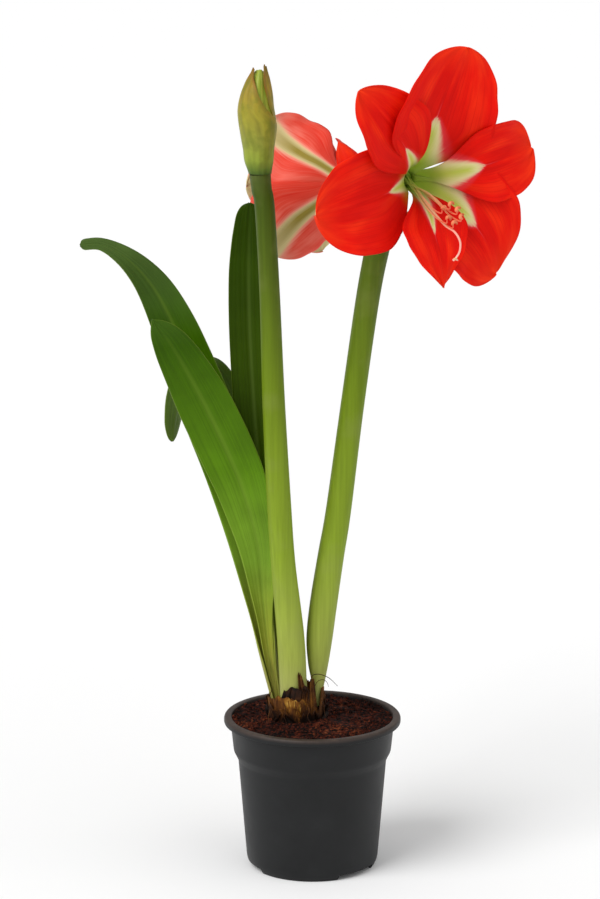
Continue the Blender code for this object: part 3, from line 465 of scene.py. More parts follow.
# Along each leaf: x, y, z, half the width and the radius of its hollow
ARCHING_LEAF = (
    (-0.0256, 0.0067, 0.1206, 0.0080, 0.0032),
    (-0.0284, 0.0066, 0.1365, 0.0105, 0.0043),
    (-0.0324, 0.0048, 0.1600, 0.0130, 0.0060),
    (-0.0385, 0.0090, 0.1983, 0.0130, 0.0100),
    (-0.0465, 0.0098, 0.2433, 0.0160, 0.0220),
    (-0.0585, 0.0098, 0.2954, 0.0205, 0.0400),
    (-0.0756, 0.0090, 0.3398, 0.0200, 0.0450),
    (-0.0911, 0.0060, 0.3808, 0.0180, 0.0450),
    (-0.1009, 0.0040, 0.4052, 0.0160, 0.0450),
    (-0.1120, 0.0010, 0.4275, 0.0135, 0.0400),
    (-0.1238, -0.0030, 0.4440, 0.0105, 0.0350),
    (-0.1370, -0.0070, 0.4562, 0.0074, 0.0300),
    (-0.1510, -0.0110, 0.4638, 0.0048, 0.0250),
    (-0.1646, -0.0140, 0.4634, 0.0044, 0.0250),
)
FRONT_LEAF = (
    (-0.0256, 0.0036, 0.1206, 0.0016, 0.0060),
    (-0.0284, 0.0030, 0.1365, 0.0026, 0.0030),
    (-0.0320, 0.0010, 0.1600, 0.0058, 0.0035),
    (-0.0360, 0.0019, 0.1995, 0.0092, 0.0080),
    (-0.0397, 0.0024, 0.2408, 0.0150, 0.0250),
    (-0.0504, 0.0030, 0.2819, 0.0190, 0.0450),
    (-0.0604, 0.0000, 0.3085, 0.0205, 0.0500),
    (-0.0773, -0.0080, 0.3469, 0.0200, 0.0550),
    (-0.0904, -0.0160, 0.3740, 0.0170, 0.0550),
    (-0.1006, -0.0240, 0.3935, 0.0135, 0.0500),
    (-0.1081, -0.0290, 0.4052, 0.0085, 0.0400),
    (-0.1135, -0.0320, 0.4129, 0.0010, 0.0400),
)
UPRIGHT_LEAF = (
    (-0.0160, 0.0110, 0.1206, 0.0050, 0.0110),
    (-0.0195, 0.0120, 0.1420, 0.0070, 0.0150),
    (-0.0262, 0.0125, 0.1720, 0.0105, 0.0200),
    (-0.0303, 0.0142, 0.2124, 0.0130, 0.0300),
    (-0.0361, 0.0150, 0.2723, 0.0145, 0.0450),
    (-0.0417, 0.0155, 0.3316, 0.0150, 0.0500),
    (-0.0452, 0.0160, 0.3902, 0.0150, 0.0500),
    (-0.0462, 0.0160, 0.4338, 0.0145, 0.0450),
    (-0.0460, 0.0170, 0.4590, 0.0128, 0.0400),
    (-0.0456, 0.0180, 0.4755, 0.0106, 0.0350),
    (-0.0452, 0.0180, 0.4892, 0.0085, 0.0350),
)
BENT_LEAF = (
    (-0.0135, 0.0148, 0.1206, 0.0045, 0.0300),
    (-0.0195, 0.0175, 0.1480, 0.0075, 0.0280),
    (-0.0300, 0.0205, 0.1796, 0.0105, 0.0250),
    (-0.0415, 0.0270, 0.2389, 0.0130, 0.0300),
    (-0.0509, 0.0340, 0.2976, 0.0145, 0.0400),
    (-0.0604, 0.0400, 0.3377, 0.0150, 0.0500),
    (-0.0722, 0.0450, 0.3610, 0.0145, 0.0600),
    (-0.0834, 0.0540, 0.3668, 0.0140, 0.0600),
    (-0.0925, 0.0610, 0.3580, 0.0135, 0.0600),
    (-0.0988, 0.0650, 0.3399, 0.0125, 0.0500),
    (-0.1027, 0.0660, 0.3208, 0.0092, 0.0400),
    (-0.1043, 0.0660, 0.3048, 0.0058, 0.0400),
)
# Each leaf: its curve, the direction across it at its foot, middle and tip, and the share of its
# length that its tip rounds off
LEAVES = {
    "arching": (ARCHING_LEAF, ((1.0, 0.0, 0.0), (0.8, 0.0, 0.6), (0.0, 0.55, 0.80)), 0.03),
    "front": (FRONT_LEAF, ((1.0, 0.0, 0.0), (0.9, 0.0, 0.4), (0.75, 0.25, 0.55)), 0.05),
    "upright": (UPRIGHT_LEAF, ((1.0, 0.1, 0.0), (1.0, 0.0, 0.0), (1.0, 0.1, 0.0)), 0.09),
    "bent": (BENT_LEAF, ((1.0, 0.3, 0.0), (0.66, 0.75, 0.0), (0.66, 0.75, 0.0)), 0.09),
}


def eased(low, high, value):
    """Smooth step from 0 at low to 1 at high."""
    share = min(max((value - low) / (high - low), 0.0), 1.0)
    return share * share * (3.0 - 2.0 * share)


def along(stations, share):
    """A point on the smooth curve through the stations, share running from 0 to 1."""
    spans = len(stations) - 1
    place = min(share * spans, spans - 1e-9)
    span = int(place)
    t = place - span
    before = stations[max(span - 1, 0)]
    after = stations[min(span + 2, spans)]
    values = []
    for a, b, c, d in zip(before, stations[span], stations[span + 1], after):
        bend = (2.0 * a - 5.0 * b + 4.0 * c - d) * t * t
        twist = (3.0 * b - a - 3.0 * c + d) * t * t * t
        values.append(0.5 * (2.0 * b + (c - a) * t + bend + twist))
    return values


def course(stations, share):
    """The direction in which the curve through the stations runs."""
    ahead = Vector(along(stations, min(share + CURVE_STEP, 1.0))[:3])
    behind = Vector(along(stations, max(share - CURVE_STEP, 0.0))[:3])
    return (ahead - behind).normalized()


def square_to(direction, forward):
    """A direction turned square to the way forward."""
    return (direction - forward * direction.dot(forward)).normalized()


def strap_point(stations, sides, rounding=0.0):
    """The surface of a leaf, with a shallow channel along its midrib and a pointed or round tip."""

    def place(across, share):
        x, y, z, half_width, roll = along(stations, share)
        if share > 1.0 - rounding:
            half_width *= math.sqrt(max(1.0 - ((share - 1.0 + rounding) / rounding) ** 2, 0.0))
        forward = course(stations, share)
        side = square_to(Vector(along(sides, share)), forward)
        angle = across * max(half_width, LEAF_LEAST) / roll
        channel = math.exp(-((across / CHANNEL_WIDTH) ** 2)) * eased(0.08, 0.3, share)
        flutes = math.cos(across * FLUTE_SCALE) * (1.0 - across * across)
        lift = (1.0 - math.cos(angle)) * roll - CHANNEL_DEPTH * channel + FLUTE_HEIGHT * flutes
        return Vector((x, y, z)) + side * math.sin(angle) * roll + side.cross(forward) * lift

    return place


def add_sheet(name, columns, rows, place):
    """A grid moved point by point. Its UV map keeps the place across and along the sheet."""
    pick()
    bpy.ops.mesh.primitive_grid_add(x_subdivisions=columns, y_subdivisions=rows, size=2.0)
    sheet = bpy.context.object
    sheet.name = name
    for point in sheet.data.vertices:
        point.co = place(point.co.x, (point.co.y + 1.0) / 2.0)
    return sheet


def give_thickness(sheet, thickness, thin_edge=None, columns=None, back=0):
    """Turn a sheet into a solid, half to each side, thinner towards its edges if asked."""
    solid = sheet.modifiers.new("thickness", "SOLIDIFY")
    solid.thickness = thickness
    solid.offset = 0.0
    solid.material_offset = back
    if thin_edge is not None:
        body = sheet.vertex_groups.new(name="body")
        for index in range(len(sheet.data.vertices)):
            across = 2.0 * (index % (columns + 1)) / columns - 1.0
            body.add([index], 1.0 - abs(across) ** 2.5, "REPLACE")
        solid.vertex_group = "body"
        solid.thickness_vertex_group = thin_edge
    apply_modifier(sheet, solid)


def add_streaks(tree, surface, stretch, detail, roughness=0.5):
    """Noise drawn out along a surface, by its scale across, along and through it."""
    drawn = add_node(tree, "Mapping", {"Vector": surface, "Scale": stretch})
    look = {"Vector": drawn, "Scale": 1.0, "Detail": detail, "Roughness": roughness}
    return add_node(tree, "TexNoise", look)


def distance_from_rib(tree, uv):
    """How far across a sheet a point is from its midrib, 0.5 at the edges."""
    column = add_node(tree, "SeparateXYZ", {"Vector": uv}, output="X")
    aside = add_node(tree, "Math", {0: column, 1: 0.5}, operation="SUBTRACT")
    return add_node(tree, "Math", {0: aside}, operation="ABSOLUTE")


def add_tones(tree, colour, value, span, tones):
    """Darken and lighten a colour as a value runs over its span."""
    light = add_node(tree, "MapRange", over(value, span, tones))
    return add_node(tree, "HueSaturation", {"Color": colour, "Value": light})


def leaf_finish(name, stops, rib, rib_share):
    """Living leaf: fine parallel veins, a pale midrib, and a colour that deepens up the blade."""
    blade, tree, shader = new_finish(name)
    uv = add_node(tree, "UVMap")
    run = add_node(tree, "SeparateXYZ", {"Vector": uv}, output="Y")
    from_rib = distance_from_rib(tree, uv)
    place = add_node(tree, "TexCoord", output="Object")
    height = add_node(tree, "SeparateXYZ", {"Vector": place}, output="Z")
    share = add_node(tree, "MapRange", over(height, LEAF_LEVELS, (0.0, 1.0)))
    body = add_node(tree, "ValToRGB", {"Fac": share}, stops)
    streaks = add_streaks(tree, uv, (46.0, 3.0, 1.0), 4.0)
    patches = add_node(tree, "TexNoise", {"Vector": place, "Scale": 26.0, "Detail": 3.0})
    light = add_node(tree, "Math", {0: streaks, 1: patches}, operation="ADD")
    veined = add_tones(tree, body, light, (0.75, 1.25), (0.78, 1.22))
    fade = add_node(tree, "MapRange", over(run, (0.60, 0.92), (1.0, 0.05)))
    ribbed = add_tint(tree, veined, rib, from_rib, (0.004, 0.085), (rib_share, 0.0), fade, True)
    veins = add_streaks(tree, uv, (110.0, 1.2, 1.0), 2.0)
    edged = add_tint(tree, ribbed, "8FA23C", from_rib, (0.488, 0.5), (0.0, 0.35))
    dress(tree, shader, edged, 0.36, 0.09, 1.42, (veins, 0.35, 0.0003))
    return blade


# Two copies of the blade colours: a lit copy for the arching and front leaves, and a darker copy for
# the upright and bent leaves at the back, a painted shade.
sunny = ((0.0, "A8A250"), (0.14, "8E9434"), (0.32, "72942A"), (0.52, "547C0E"), (0.80, "345600"))
leaf_lit = leaf_finish("leaf_blade", (*sunny, (1.0, "465E28")), "6E8A2C", 0.34)
shaded = ((0.0, "9A9844"), (0.15, "74802A"), (0.35, "4E6A04"), (0.60, "385000"), (1.0, "283E00"))
leaf_shaded = leaf_finish("leaf_blade_shaded", shaded, "5E7430", 0.34)
under = ((0.0, "ACA65C"), (0.15, "8C9440"), (0.40, "667C2E"), (0.70, "56702E"), (1.0, "6E8050"))
leaf_under = leaf_finish("leaf_underside", under, "8C9E5C", 0.25)

for name, (stations, sides, rounding) in LEAVES.items():
    surface = strap_point(stations, sides, rounding)
    leaf = add_sheet(name, LEAF_COLUMNS, LEAF_ROWS * len(stations), surface)
    # The leaves at the back take the darker copy: painted shade.
    leaf.data.materials.append(leaf_lit if name in ("arching", "front") else leaf_shaded)
    leaf.data.materials.append(leaf_under)
    give_thickness(leaf, LEAF_THICKNESS, LEAF_EDGE, LEAF_COLUMNS, back=1)
    settle(leaf, "strap_" + name)
    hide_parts("leaf_" + name)
    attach(leaf, "root")

# Flower stems: two thick hollow scapes, round and smooth with a dull bloom. They are khaki
# where they leave the bulb and dark green under the flowers.
SCAPE_COLUMNS = 56
SCAPE_ROWS = 110
SCAPE_FLUTE = 0.006
STEM_LEVELS = (0.115, 0.530)
TUBE_RIDGES = 9.0
TUBE_SMOOTH = 50.0
SEAM_GAP = 0.000005
# x, y, z and radius along each stem
SCAPES = {
    "left": (
        (-0.0135, -0.0065, 0.1202, 0.0098),
        (-0.0141, -0.0076, 0.1400, 0.0100),
        (-0.0160, -0.0105, 0.1768, 0.0100),
        (-0.0212, -0.0140, 0.2308, 0.0089),
        (-0.0242, -0.0170, 0.2776, 0.0087),
        (-0.0279, -0.0200, 0.3530, 0.0081),
        (-0.0305, -0.0230, 0.4293, 0.0073),
        (-0.0337, -0.0250, 0.4900, 0.0071),
        (-0.0360, -0.0257, 0.5050, 0.0072),
        (-0.0371, -0.0260, 0.5158, 0.0076),
    ),
    "right": (
        (0.0030, 0.0000, 0.1202, 0.0028),
        (0.0034, 0.0000, 0.1290, 0.0034),
        (0.0042, 0.0000, 0.1400, 0.0052),
        (0.0043, 0.0004, 0.1530, 0.0076),
        (0.0052, 0.0008, 0.1720, 0.0096),
        (0.0082, 0.0010, 0.1980, 0.0100),
        (0.0135, 0.0020, 0.2335, 0.0096),
        (0.0189, 0.0020, 0.2672, 0.0092),
        (0.0287, 0.0020, 0.3449, 0.0085),
        (0.0392, 0.0010, 0.4217, 0.0085),
        (0.0458, 0.0000, 0.4580, 0.0088),
        (0.0497, 0.0000, 0.4740, 0.0096),
        (0.0497, 0.0000, 0.4802, 0.0098),
    ),
}


def tube_point(stations, flute):
    """The surface of a round stem, its seam at the back, with faint ridges along it."""

    def place(across, share):
        x, y, z, radius = along(stations, share)
        forward = course(stations, share)
        sideways = Vector((0.0, 0.0, 1.0) if abs(forward.x) > 0.9 else (1.0, 0.0, 0.0))
        side = square_to(sideways, forward)
        back = forward.cross(side)
        angle = math.pi * across
        reach = radius * (1.0 + flute * math.cos(TUBE_RIDGES * angle + 1.0))
        return Vector((x, y, z)) + (side * math.sin(angle) - back * math.cos(angle)) * reach

    return place


def close_tube(tube):
    """Join the seam of a tube and close its two ends."""
    shape = bmesh.new()
    shape.from_mesh(tube.data)
    bmesh.ops.remove_doubles(shape, verts=shape.verts, dist=SEAM_GAP)
    bmesh.ops.holes_fill(shape, edges=[edge for edge in shape.edges if edge.is_boundary])
    bmesh.ops.recalc_face_normals(shape, faces=shape.faces)
    shape.to_mesh(tube.data)
    shape.free()


def add_tube(name, columns, rows, stations, flute=0.0, material=None):
    """A round stem or thread through its stations, closed."""
    tube = add_sheet(name, columns, rows, tube_point(stations, flute))
    close_tube(tube)
    if material:
        tube.data.materials.append(material)
    return tube


def stem_finish(name, stops):
    """Fresh stem: colour by height, fine streaks along it and a dull bloom."""
    skin, tree, shader = new_finish(name)
    place = add_node(tree, "TexCoord", output="Object")
    height = add_node(tree, "SeparateXYZ", {"Vector": place}, output="Z")
    share = add_node(tree, "MapRange", over(height, STEM_LEVELS, (0.0, 1.0)))
    body = add_node(tree, "ValToRGB", {"Fac": share}, stops)
    streaks = add_streaks(tree, place, (420.0, 420.0, 9.0), 3.0)
    lined = add_tones(tree, body, streaks, (0.35, 0.65), (0.92, 1.08))
    patches = add_node(tree, "TexNoise", {"Vector": place, "Scale": 38.0, "Detail": 3.0})
    bloomed = add_tint(tree, lined, "8C8C58", patches, (0.52, 0.78), (0.0, 0.18))
    dress(tree, shader, bloomed, 0.46, 0.17, 1.42, (streaks, 0.25, 0.0003))
    return skin


greens = ((0.0, "A6A464"), (0.10, "96A046"), (0.30, "7E9426"), (0.58, "667C14"), (0.80, "4C5E10"))
stem_green = stem_finish("scape_skin", (*greens, (1.0, "344608")))

for name, stations in SCAPES.items():
    stem = add_tube(name, SCAPE_COLUMNS, SCAPE_ROWS, stations, SCAPE_FLUTE)
    settle(stem, "stem_" + name, stem_green, TUBE_SMOOTH)
    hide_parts("scape_" + name)
    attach(stem, "root")

# Dry scales: the torn brown skins of the bulb, papery and creased, that close round the foot of
# the leaves and stems. Here and there a skin has split into loose curled fibres.
NECK_RADIUS = 0.0186
SCALE_FOOT = 0.1070
SCALE_THICKNESS = 0.00035
SCALE_COLUMNS = 16
SCALE_ROWS = 14
SCALE_TWIST = 22.0
TORN_BROAD = 0.0040
TORN_FINE = 0.0014
TOP_FALL = 0.0016
CREASE_HEIGHT = 0.0013
EDGE_CURL = 0.0006
# The feet of the scales darken between these heights: a painted shade near the soil.
FOOT_SHADE_LEVELS = (0.1130, 0.1250)
SCALE_SMOOTH = 60.0
# Turn from the right towards the back, half the angle that it spans, height of its top, how far it
# stands off the neck, how far its top leans out, how much it narrows, and how golden it is, which is
# partly its own colour and partly painted light: low for skins in shade and high for skins that the
# light comes through
NECK_SCALES = (
    (-108.0, 40.0, 0.1385, 0.0000, 0.0002, 0.25, 0.05),
    (-118.0, 42.0, 0.1296, 0.0010, 0.0010, 0.08, 0.72),
    (-72.0, 30.0, 0.1300, 0.0008, 0.0006, 0.20, 0.45),
    (-63.0, 15.0, 0.1492, 0.0004, -0.0012, 0.72, 0.42),
    (-50.0, 13.0, 0.1440, 0.0010, -0.0006, 0.66, 0.62),
    (-84.0, 12.0, 0.1375, 0.0007, 0.0000, 0.55, 0.20),
    (-30.0, 22.0, 0.1355, 0.0008, -0.0004, 0.55, 0.58),
    (-6.0, 20.0, 0.1290, 0.0010, 0.0008, 0.35, 0.40),
    (176.0, 24.0, 0.1275, 0.0018, 0.0014, 0.20, 0.30),
    (171.0, 8.0, 0.1392, 0.0022, 0.0010, 0.82, 0.02),
    (-152.0, 24.0, 0.1265, 0.0016, 0.0014, 0.25, 0.55),
    (88.0, 44.0, 0.1280, 0.0006, 0.0008, 0.15, 0.35),
    (40.0, 34.0, 0.1290, 0.0008, 0.0010, 0.20, 0.45),
    (132.0, 34.0, 0.1285, 0.0009, 0.0010, 0.20, 0.25),
    (60.0, 20.0, 0.1335, 0.0000, 0.0004, 0.40, 0.50),
    (110.0, 22.0, 0.1325, 0.0000, 0.0006, 0.40, 0.20),
    (-104.0, 26.0, 0.1215, 0.0024, 0.0022, 0.30, 0.50),
    (-62.0, 24.0, 0.1200, 0.0026, 0.0018, 0.35, 0.28),
    (-136.0, 20.0, 0.1190, 0.0030, 0.0026, 0.40, 0.35),
    (-20.0, 26.0, 0.1185, 0.0024, 0.0022, 0.35, 0.22),
    (-92.0, 7.0, 0.1265, 0.0021, 0.0004, 0.55, 1.00),
    (-78.0, 9.0, 0.1235, 0.0024, 0.0008, 0.50, 0.70),
    (24.0, 30.0, 0.1195, 0.0026, 0.0020, 0.35, 0.30),
    (160.0, 28.0, 0.1190, 0.0028, 0.0022, 0.35, 0.25),
    (100.0, 34.0, 0.1185, 0.0024, 0.0020, 0.30, 0.30),
)
# Loose fibres: x, y, z and radius along each
NECK_FIBRES = (
    (
        (-0.0012, -0.0166, 0.1420, 0.00040),
        (0.0000, -0.0171, 0.1478, 0.00036),
        (0.0048, -0.0176, 0.1490, 0.00032),
        (0.0097, -0.0178, 0.1474, 0.00028),
        (0.0130, -0.0180, 0.1455, 0.00024),
        (0.0183, -0.0182, 0.1402, 0.00018),
    ),
    (
        (0.0010, -0.0165, 0.1380, 0.00030),
        (0.0034, -0.0170, 0.1430, 0.00026),
        (0.0074, -0.0172, 0.1448, 0.00022),
        (0.0106, -0.0176, 0.1428, 0.00018),
        (0.0116, -0.0180, 0.1396, 0.00014),
    ),
    (
        (-0.0300, -0.0040, 0.1330, 0.00030),
        (-0.0312, -0.0062, 0.1280, 0.00028),
        (-0.0306, -0.0100, 0.1215, 0.00026),
        (-0.0322, -0.0146, 0.1160, 0.00022),
        (-0.0318, -0.0190, 0.1120, 0.00018),
    ),
    (
        (-0.0210, -0.0182, 0.1270, 0.00032),
        (-0.0196, -0.0206, 0.1230, 0.00030),
        (-0.0204, -0.0222, 0.1180, 0.00026),
        (-0.0188, -0.0240, 0.1130, 0.00022),
        (-0.0212, -0.0268, 0.1112, 0.00016),
    ),
    (
        (-0.0040, -0.0186, 0.1260, 0.00032),
        (-0.0022, -0.0206, 0.1225, 0.00030),
        (-0.0036, -0.0222, 0.1180, 0.00026),
        (-0.0012, -0.0240, 0.1140, 0.00022),
        (0.0018, -0.0262, 0.1116, 0.00016),
    ),
    (
        (0.0062, -0.0110, 0.1280, 0.00030),
        (0.0082, -0.0120, 0.1240, 0.00028),
        (0.0090, -0.0134, 0.1180, 0.00024),
        (0.0108, -0.0142, 0.1132, 0.00020),
        (0.0140, -0.0160, 0.1114, 0.00016),
    ),
)

# Dried bulb skin: dead leaf bases, split from the bulb. Brown paper with a faint shine and creases
# along it 1 mm apart. Its tone is partly its own and partly painted light: golden where the light
# comes through, dark on the skins in shade, and darker at the foot of each skin near the soil, a
# painted shade.
dry_skin, tree, shader = new_finish("dried_bulb_skin")
uv = add_node(tree, "UVMap")
place = add_node(tree, "TexCoord", output="Object")
tone = add_node(tree, "Attribute", attribute_name="tone", output="Fac")
creases = add_streaks(tree, uv, (16.0, 1.6, 1.0), 5.0, 0.65)
stains = add_node(tree, "TexNoise", {"Vector": place, "Scale": 120.0, "Detail": 4.0})
mixed = add_node(tree, "Math", {0: creases, 1: stains}, operation="ADD")
spread = add_node(tree, "MapRange", over(mixed, (0.7, 1.35), (-0.30, 0.42)))
golden = add_node(tree, "Math", {0: tone, 1: spread}, operation="ADD")
papers = ((0.0, "140A05"), (0.22, "2E170A"), (0.45, "543010"), (0.68, "7C4E18"), (0.85, "A67A30"))
paper = add_node(tree, "ValToRGB", {"Fac": golden}, (*papers, (1.0, "CDA85C")))
dress(tree, shader, paper, 0.55, 0.16, bump=(creases, 0.9, 0.0008))
bulb_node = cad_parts["bulb"]
bulb_node.data.materials.clear()
bulb_node.data.materials.append(potting_mix)


def scale_point(scale, seed):
    """The surface of one scale round the neck, with a torn top and creases along it."""
    turn, span, top, stand_off, lean, taper, _ = scale
    twist = SCALE_TWIST * math.sin(seed * 5.3)

    def place(across, share):
        torn = TORN_BROAD * noise.noise(Vector((across * 2.7 + seed, 1.7 * seed, 0.5)))
        torn += TORN_FINE * noise.noise(Vector((across * 8.0 + seed, 2.0, seed)))
        high = top + torn - TOP_FALL * abs(across) ** 3
        angle = math.radians(turn + twist * share + across * span * (1.0 - taper * share**1.4))
        crease = CREASE_HEIGHT * noise.noise(Vector((across * 6.0 + seed, share * 1.3, seed)))
        radius = NECK_RADIUS + stand_off + lean * share * share + crease * eased(0.0, 0.5, share)
        radius += EDGE_CURL * abs(across) ** 4 * share
        height = SCALE_FOOT + (high - SCALE_FOOT) * share
        return Vector((BULB_X + radius * math.cos(angle), radius * math.sin(angle), height))

    return place


def set_tone(piece, tone, foot_shade=0.0):
    """Note how golden a piece of dried skin is, for its colour and its painted light. Its foot may
    take a painted shade, darker towards the soil.
    """
    shade = piece.data.attributes.new("tone", "FLOAT", "POINT")
    for point, item in zip(piece.data.vertices, shade.data):
        item.value = tone - foot_shade * (1.0 - eased(*FOOT_SHADE_LEVELS, point.co.z))


def join_all(pieces):
    """Join finished pieces into the first one."""
    pick(*pieces)
    bpy.ops.object.join()
    return pieces[0]


skins = []
for index, scale in enumerate(NECK_SCALES):
    skin = add_sheet("skin", SCALE_COLUMNS, SCALE_ROWS, scale_point(scale, 1.37 * index + 0.4))
    # Each scale's tone, and a painted shade at its foot.
    set_tone(skin, scale[-1] * 0.78, 0.34)
    give_thickness(skin, SCALE_THICKNESS)
    skins.append(skin)
for index, fibre in enumerate(NECK_FIBRES):
    thread = add_tube("thread", 7, 26, fibre)
    set_tone(thread, 0.22 + 0.10 * (index % 3))
    skins.append(thread)
neck_skins = settle(join_all(skins), "neck_skins", dry_skin, SCALE_SMOOTH)
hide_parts("tunic")
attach(neck_skins, "root")

# Closed bud: the flower cluster of the left stem, still in its sheath of two leathery bracts.
# The green flower buds show at the front, where the bracts have started to part.
BUD_Y = -0.0260
BUD_FOOT = 0.5160
BUD_LENGTH = 0.0748
# The bud's middle (x) and its outer radius, at even steps from its foot to its tip
BUD_SHAPE = (
    (-0.0371, 0.0077),
    (-0.0378, 0.0097),
    (-0.0379, 0.0107),
    (-0.0381, 0.0122),
    (-0.0386, 0.0134),
    (-0.0393, 0.0129),
    (-0.0389, 0.0115),
    (-0.0379, 0.0088),
    (-0.0368, 0.0048),
)
# Each bract: how far it stands off the bud, its length, and its two edges at the same steps, in
# degrees from the front towards the right
BRACTS = {
    "left": (
        0.0,
        BUD_LENGTH - 0.0022,
        (
            (100.0, -238.0),
            (100.0, -238.0),
            (97.0, -236.0),
            (86.0, -230.0),
            (74.0, -220.0),
            (36.0, -196.0),
            (8.0, -176.0),
            (-14.0, -150.0),
            (-52.0, -94.0),
        ),
    ),
    "right": (
        -0.0011,
        BUD_LENGTH,
        (
            (60.0, 282.0),
            (60.0, 282.0),
            (62.0, 276.0),
            (66.0, 262.0),
            (64.0, 242.0),
            (50.0, 222.0),
            (36.0, 205.0),
            (26.0, 168.0),
            (36.0, 74.0),
        ),
    ),
}
BRACT_CELLS = 60
BRACT_THICKNESS = 0.0007
BRACT_SMOOTH = 60.0
RIB_HEIGHT = 0.00010
BULGE_HEIGHT = 0.00045
EDGE_LIFT = 0.0007
TIP_LENGTH = 0.0016
# Turn of each flower bud in the sheath, and the share of the bud's length where it ends
INNER_BUDS = ((6.0, 0.972), (52.0, 0.945), (140.0, 0.955), (228.0, 0.965), (300.0, 0.940))
INNER_START = 0.10
INNER_GAP = 0.0013
INNER_FULLNESS = 0.56


def bract_point(edges, stand_off, length):
    """The surface of one bract of the sheath, with ribs along it and a pinched tip."""

    def place(across, share):
        x, radius = along(BUD_SHAPE, share)
        first, last = along(edges, share)
        turn = math.radians(first + (last - first) * (across + 1.0) / 2.0)
        spot = Vector((3.0 * math.cos(turn), 3.0 * math.sin(turn), 5.0 * share))
        reach = radius + stand_off + BULGE_HEIGHT * noise.noise(spot)
        reach += RIB_HEIGHT * math.cos(17.0 * turn + 3.0 * share) * eased(0.02, 0.2, share)
        reach += EDGE_LIFT * eased(0.45, 1.0, share) * abs(across) ** 6
        height = BUD_FOOT + length * share
        height += TIP_LENGTH * eased(0.85, 1.0, share) * (1.0 - abs(across))
        return Vector((x + reach * math.sin(turn), BUD_Y - reach * math.cos(turn), height))

    return place


def inner_bud_point(turn, top):
    """The surface of one green flower bud, pressed against the others in the sheath."""
    heading = math.radians(turn)

    def place(across, share):
        at = INNER_START + (top - INNER_START) * math.sin(share * math.pi / 2.0)
        x, outer = along(BUD_SHAPE, at)
        full = outer - INNER_GAP
        offset = (1.0 - INNER_FULLNESS) * full
        angle = math.pi * across
        radius = INNER_FULLNESS * full * math.sqrt(max(1.0 - share**5.0, 0.0)) + 0.00005
        radius *= 1.0 + 0.05 * math.cos(3.0 * angle + turn)
        x += offset * math.sin(heading) + radius * math.sin(angle)
        y = BUD_Y - offset * math.cos(heading) - radius * math.cos(angle)
        return Vector((x, y, BUD_FOOT + BUD_LENGTH * at))

    return place


# Bract: leathery and drying from its tip. Olive with long faint ribs and green blotches, green
# at the foot, and brown along its free edges.
bract_skin, tree, shader = new_finish("bract_skin")
uv = add_node(tree, "UVMap")
run = add_node(tree, "SeparateXYZ", {"Vector": uv}, output="Y")
from_rib = distance_from_rib(tree, uv)
olives = ((0.0, "3C540C"), (0.05, "587018"), (0.13, "84942C"), (0.32, "8A8E30"), (0.60, "968C26"))
olive = add_node(tree, "ValToRGB", {"Fac": run}, (*olives, (0.85, "967C1E"), (1.0, "7E5414")))
streaks = add_streaks(tree, uv, (11.0, 3.2, 1.0), 4.0)
lined = add_tones(tree, olive, streaks, (0.30, 0.70), (0.76, 1.20))
upper = add_node(tree, "MapRange", over(run, (0.40, 0.85), (0.0, 1.0)))
browned = add_tint(tree, lined, "7E5214", from_rib, (0.40, 0.50), (0.0, 0.8), mask=upper)
place = add_node(tree, "TexCoord", output="Object")
blotch = add_node(tree, "TexNoise", {"Vector": place, "Scale": 110.0, "Detail": 3.0})
mottled = add_tint(tree, browned, "66701A", blotch, (0.46, 0.66), (0.0, 0.55))
dress(tree, shader, mottled, 0.50, 0.28, bump=(streaks, 0.25, 0.0005))

# Young flower bud: firm and smooth, bright yellow-green, with darker streaks along it that are a
# painted shade in its creases.
bud_skin, tree, shader = new_finish("green_bud_skin")
streaks = add_streaks(tree, add_node(tree, "UVMap"), (14.0, 2.0, 1.0), 3.0)
limes = ((0.30, "74861C"), (0.50, "92A030"), (0.70, "AEB04E"))
lime = add_node(tree, "ValToRGB", {"Fac": streaks}, limes)
dress(tree, shader, lime, 0.42, 0.28)

buds = []
for turn, top in INNER_BUDS:
    bud = add_sheet("bud", 30, 40, inner_bud_point(turn, top))
    close_tube(bud)
    buds.append(bud)
green_buds = settle(join_all(buds), "green_buds", bud_skin)
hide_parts("bud_inner")
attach(green_buds, "root")
for side, (stand_off, length, edges) in BRACTS.items():
    bract = add_sheet(side, BRACT_CELLS, BRACT_CELLS, bract_point(edges, stand_off, length))
    give_thickness(bract, BRACT_THICKNESS)
    settle(bract, "sheath_" + side, bract_skin, BRACT_SMOOTH)
    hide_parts("bract_" + side)
    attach(bract, "root")

# Flower stalks: each bloom and the closed flower has its own stalk from the top of the right
# stem, with the green seed pod swelling under the bloom.
STALK_COLUMNS = 30
STALK_FLUTE = 0.010
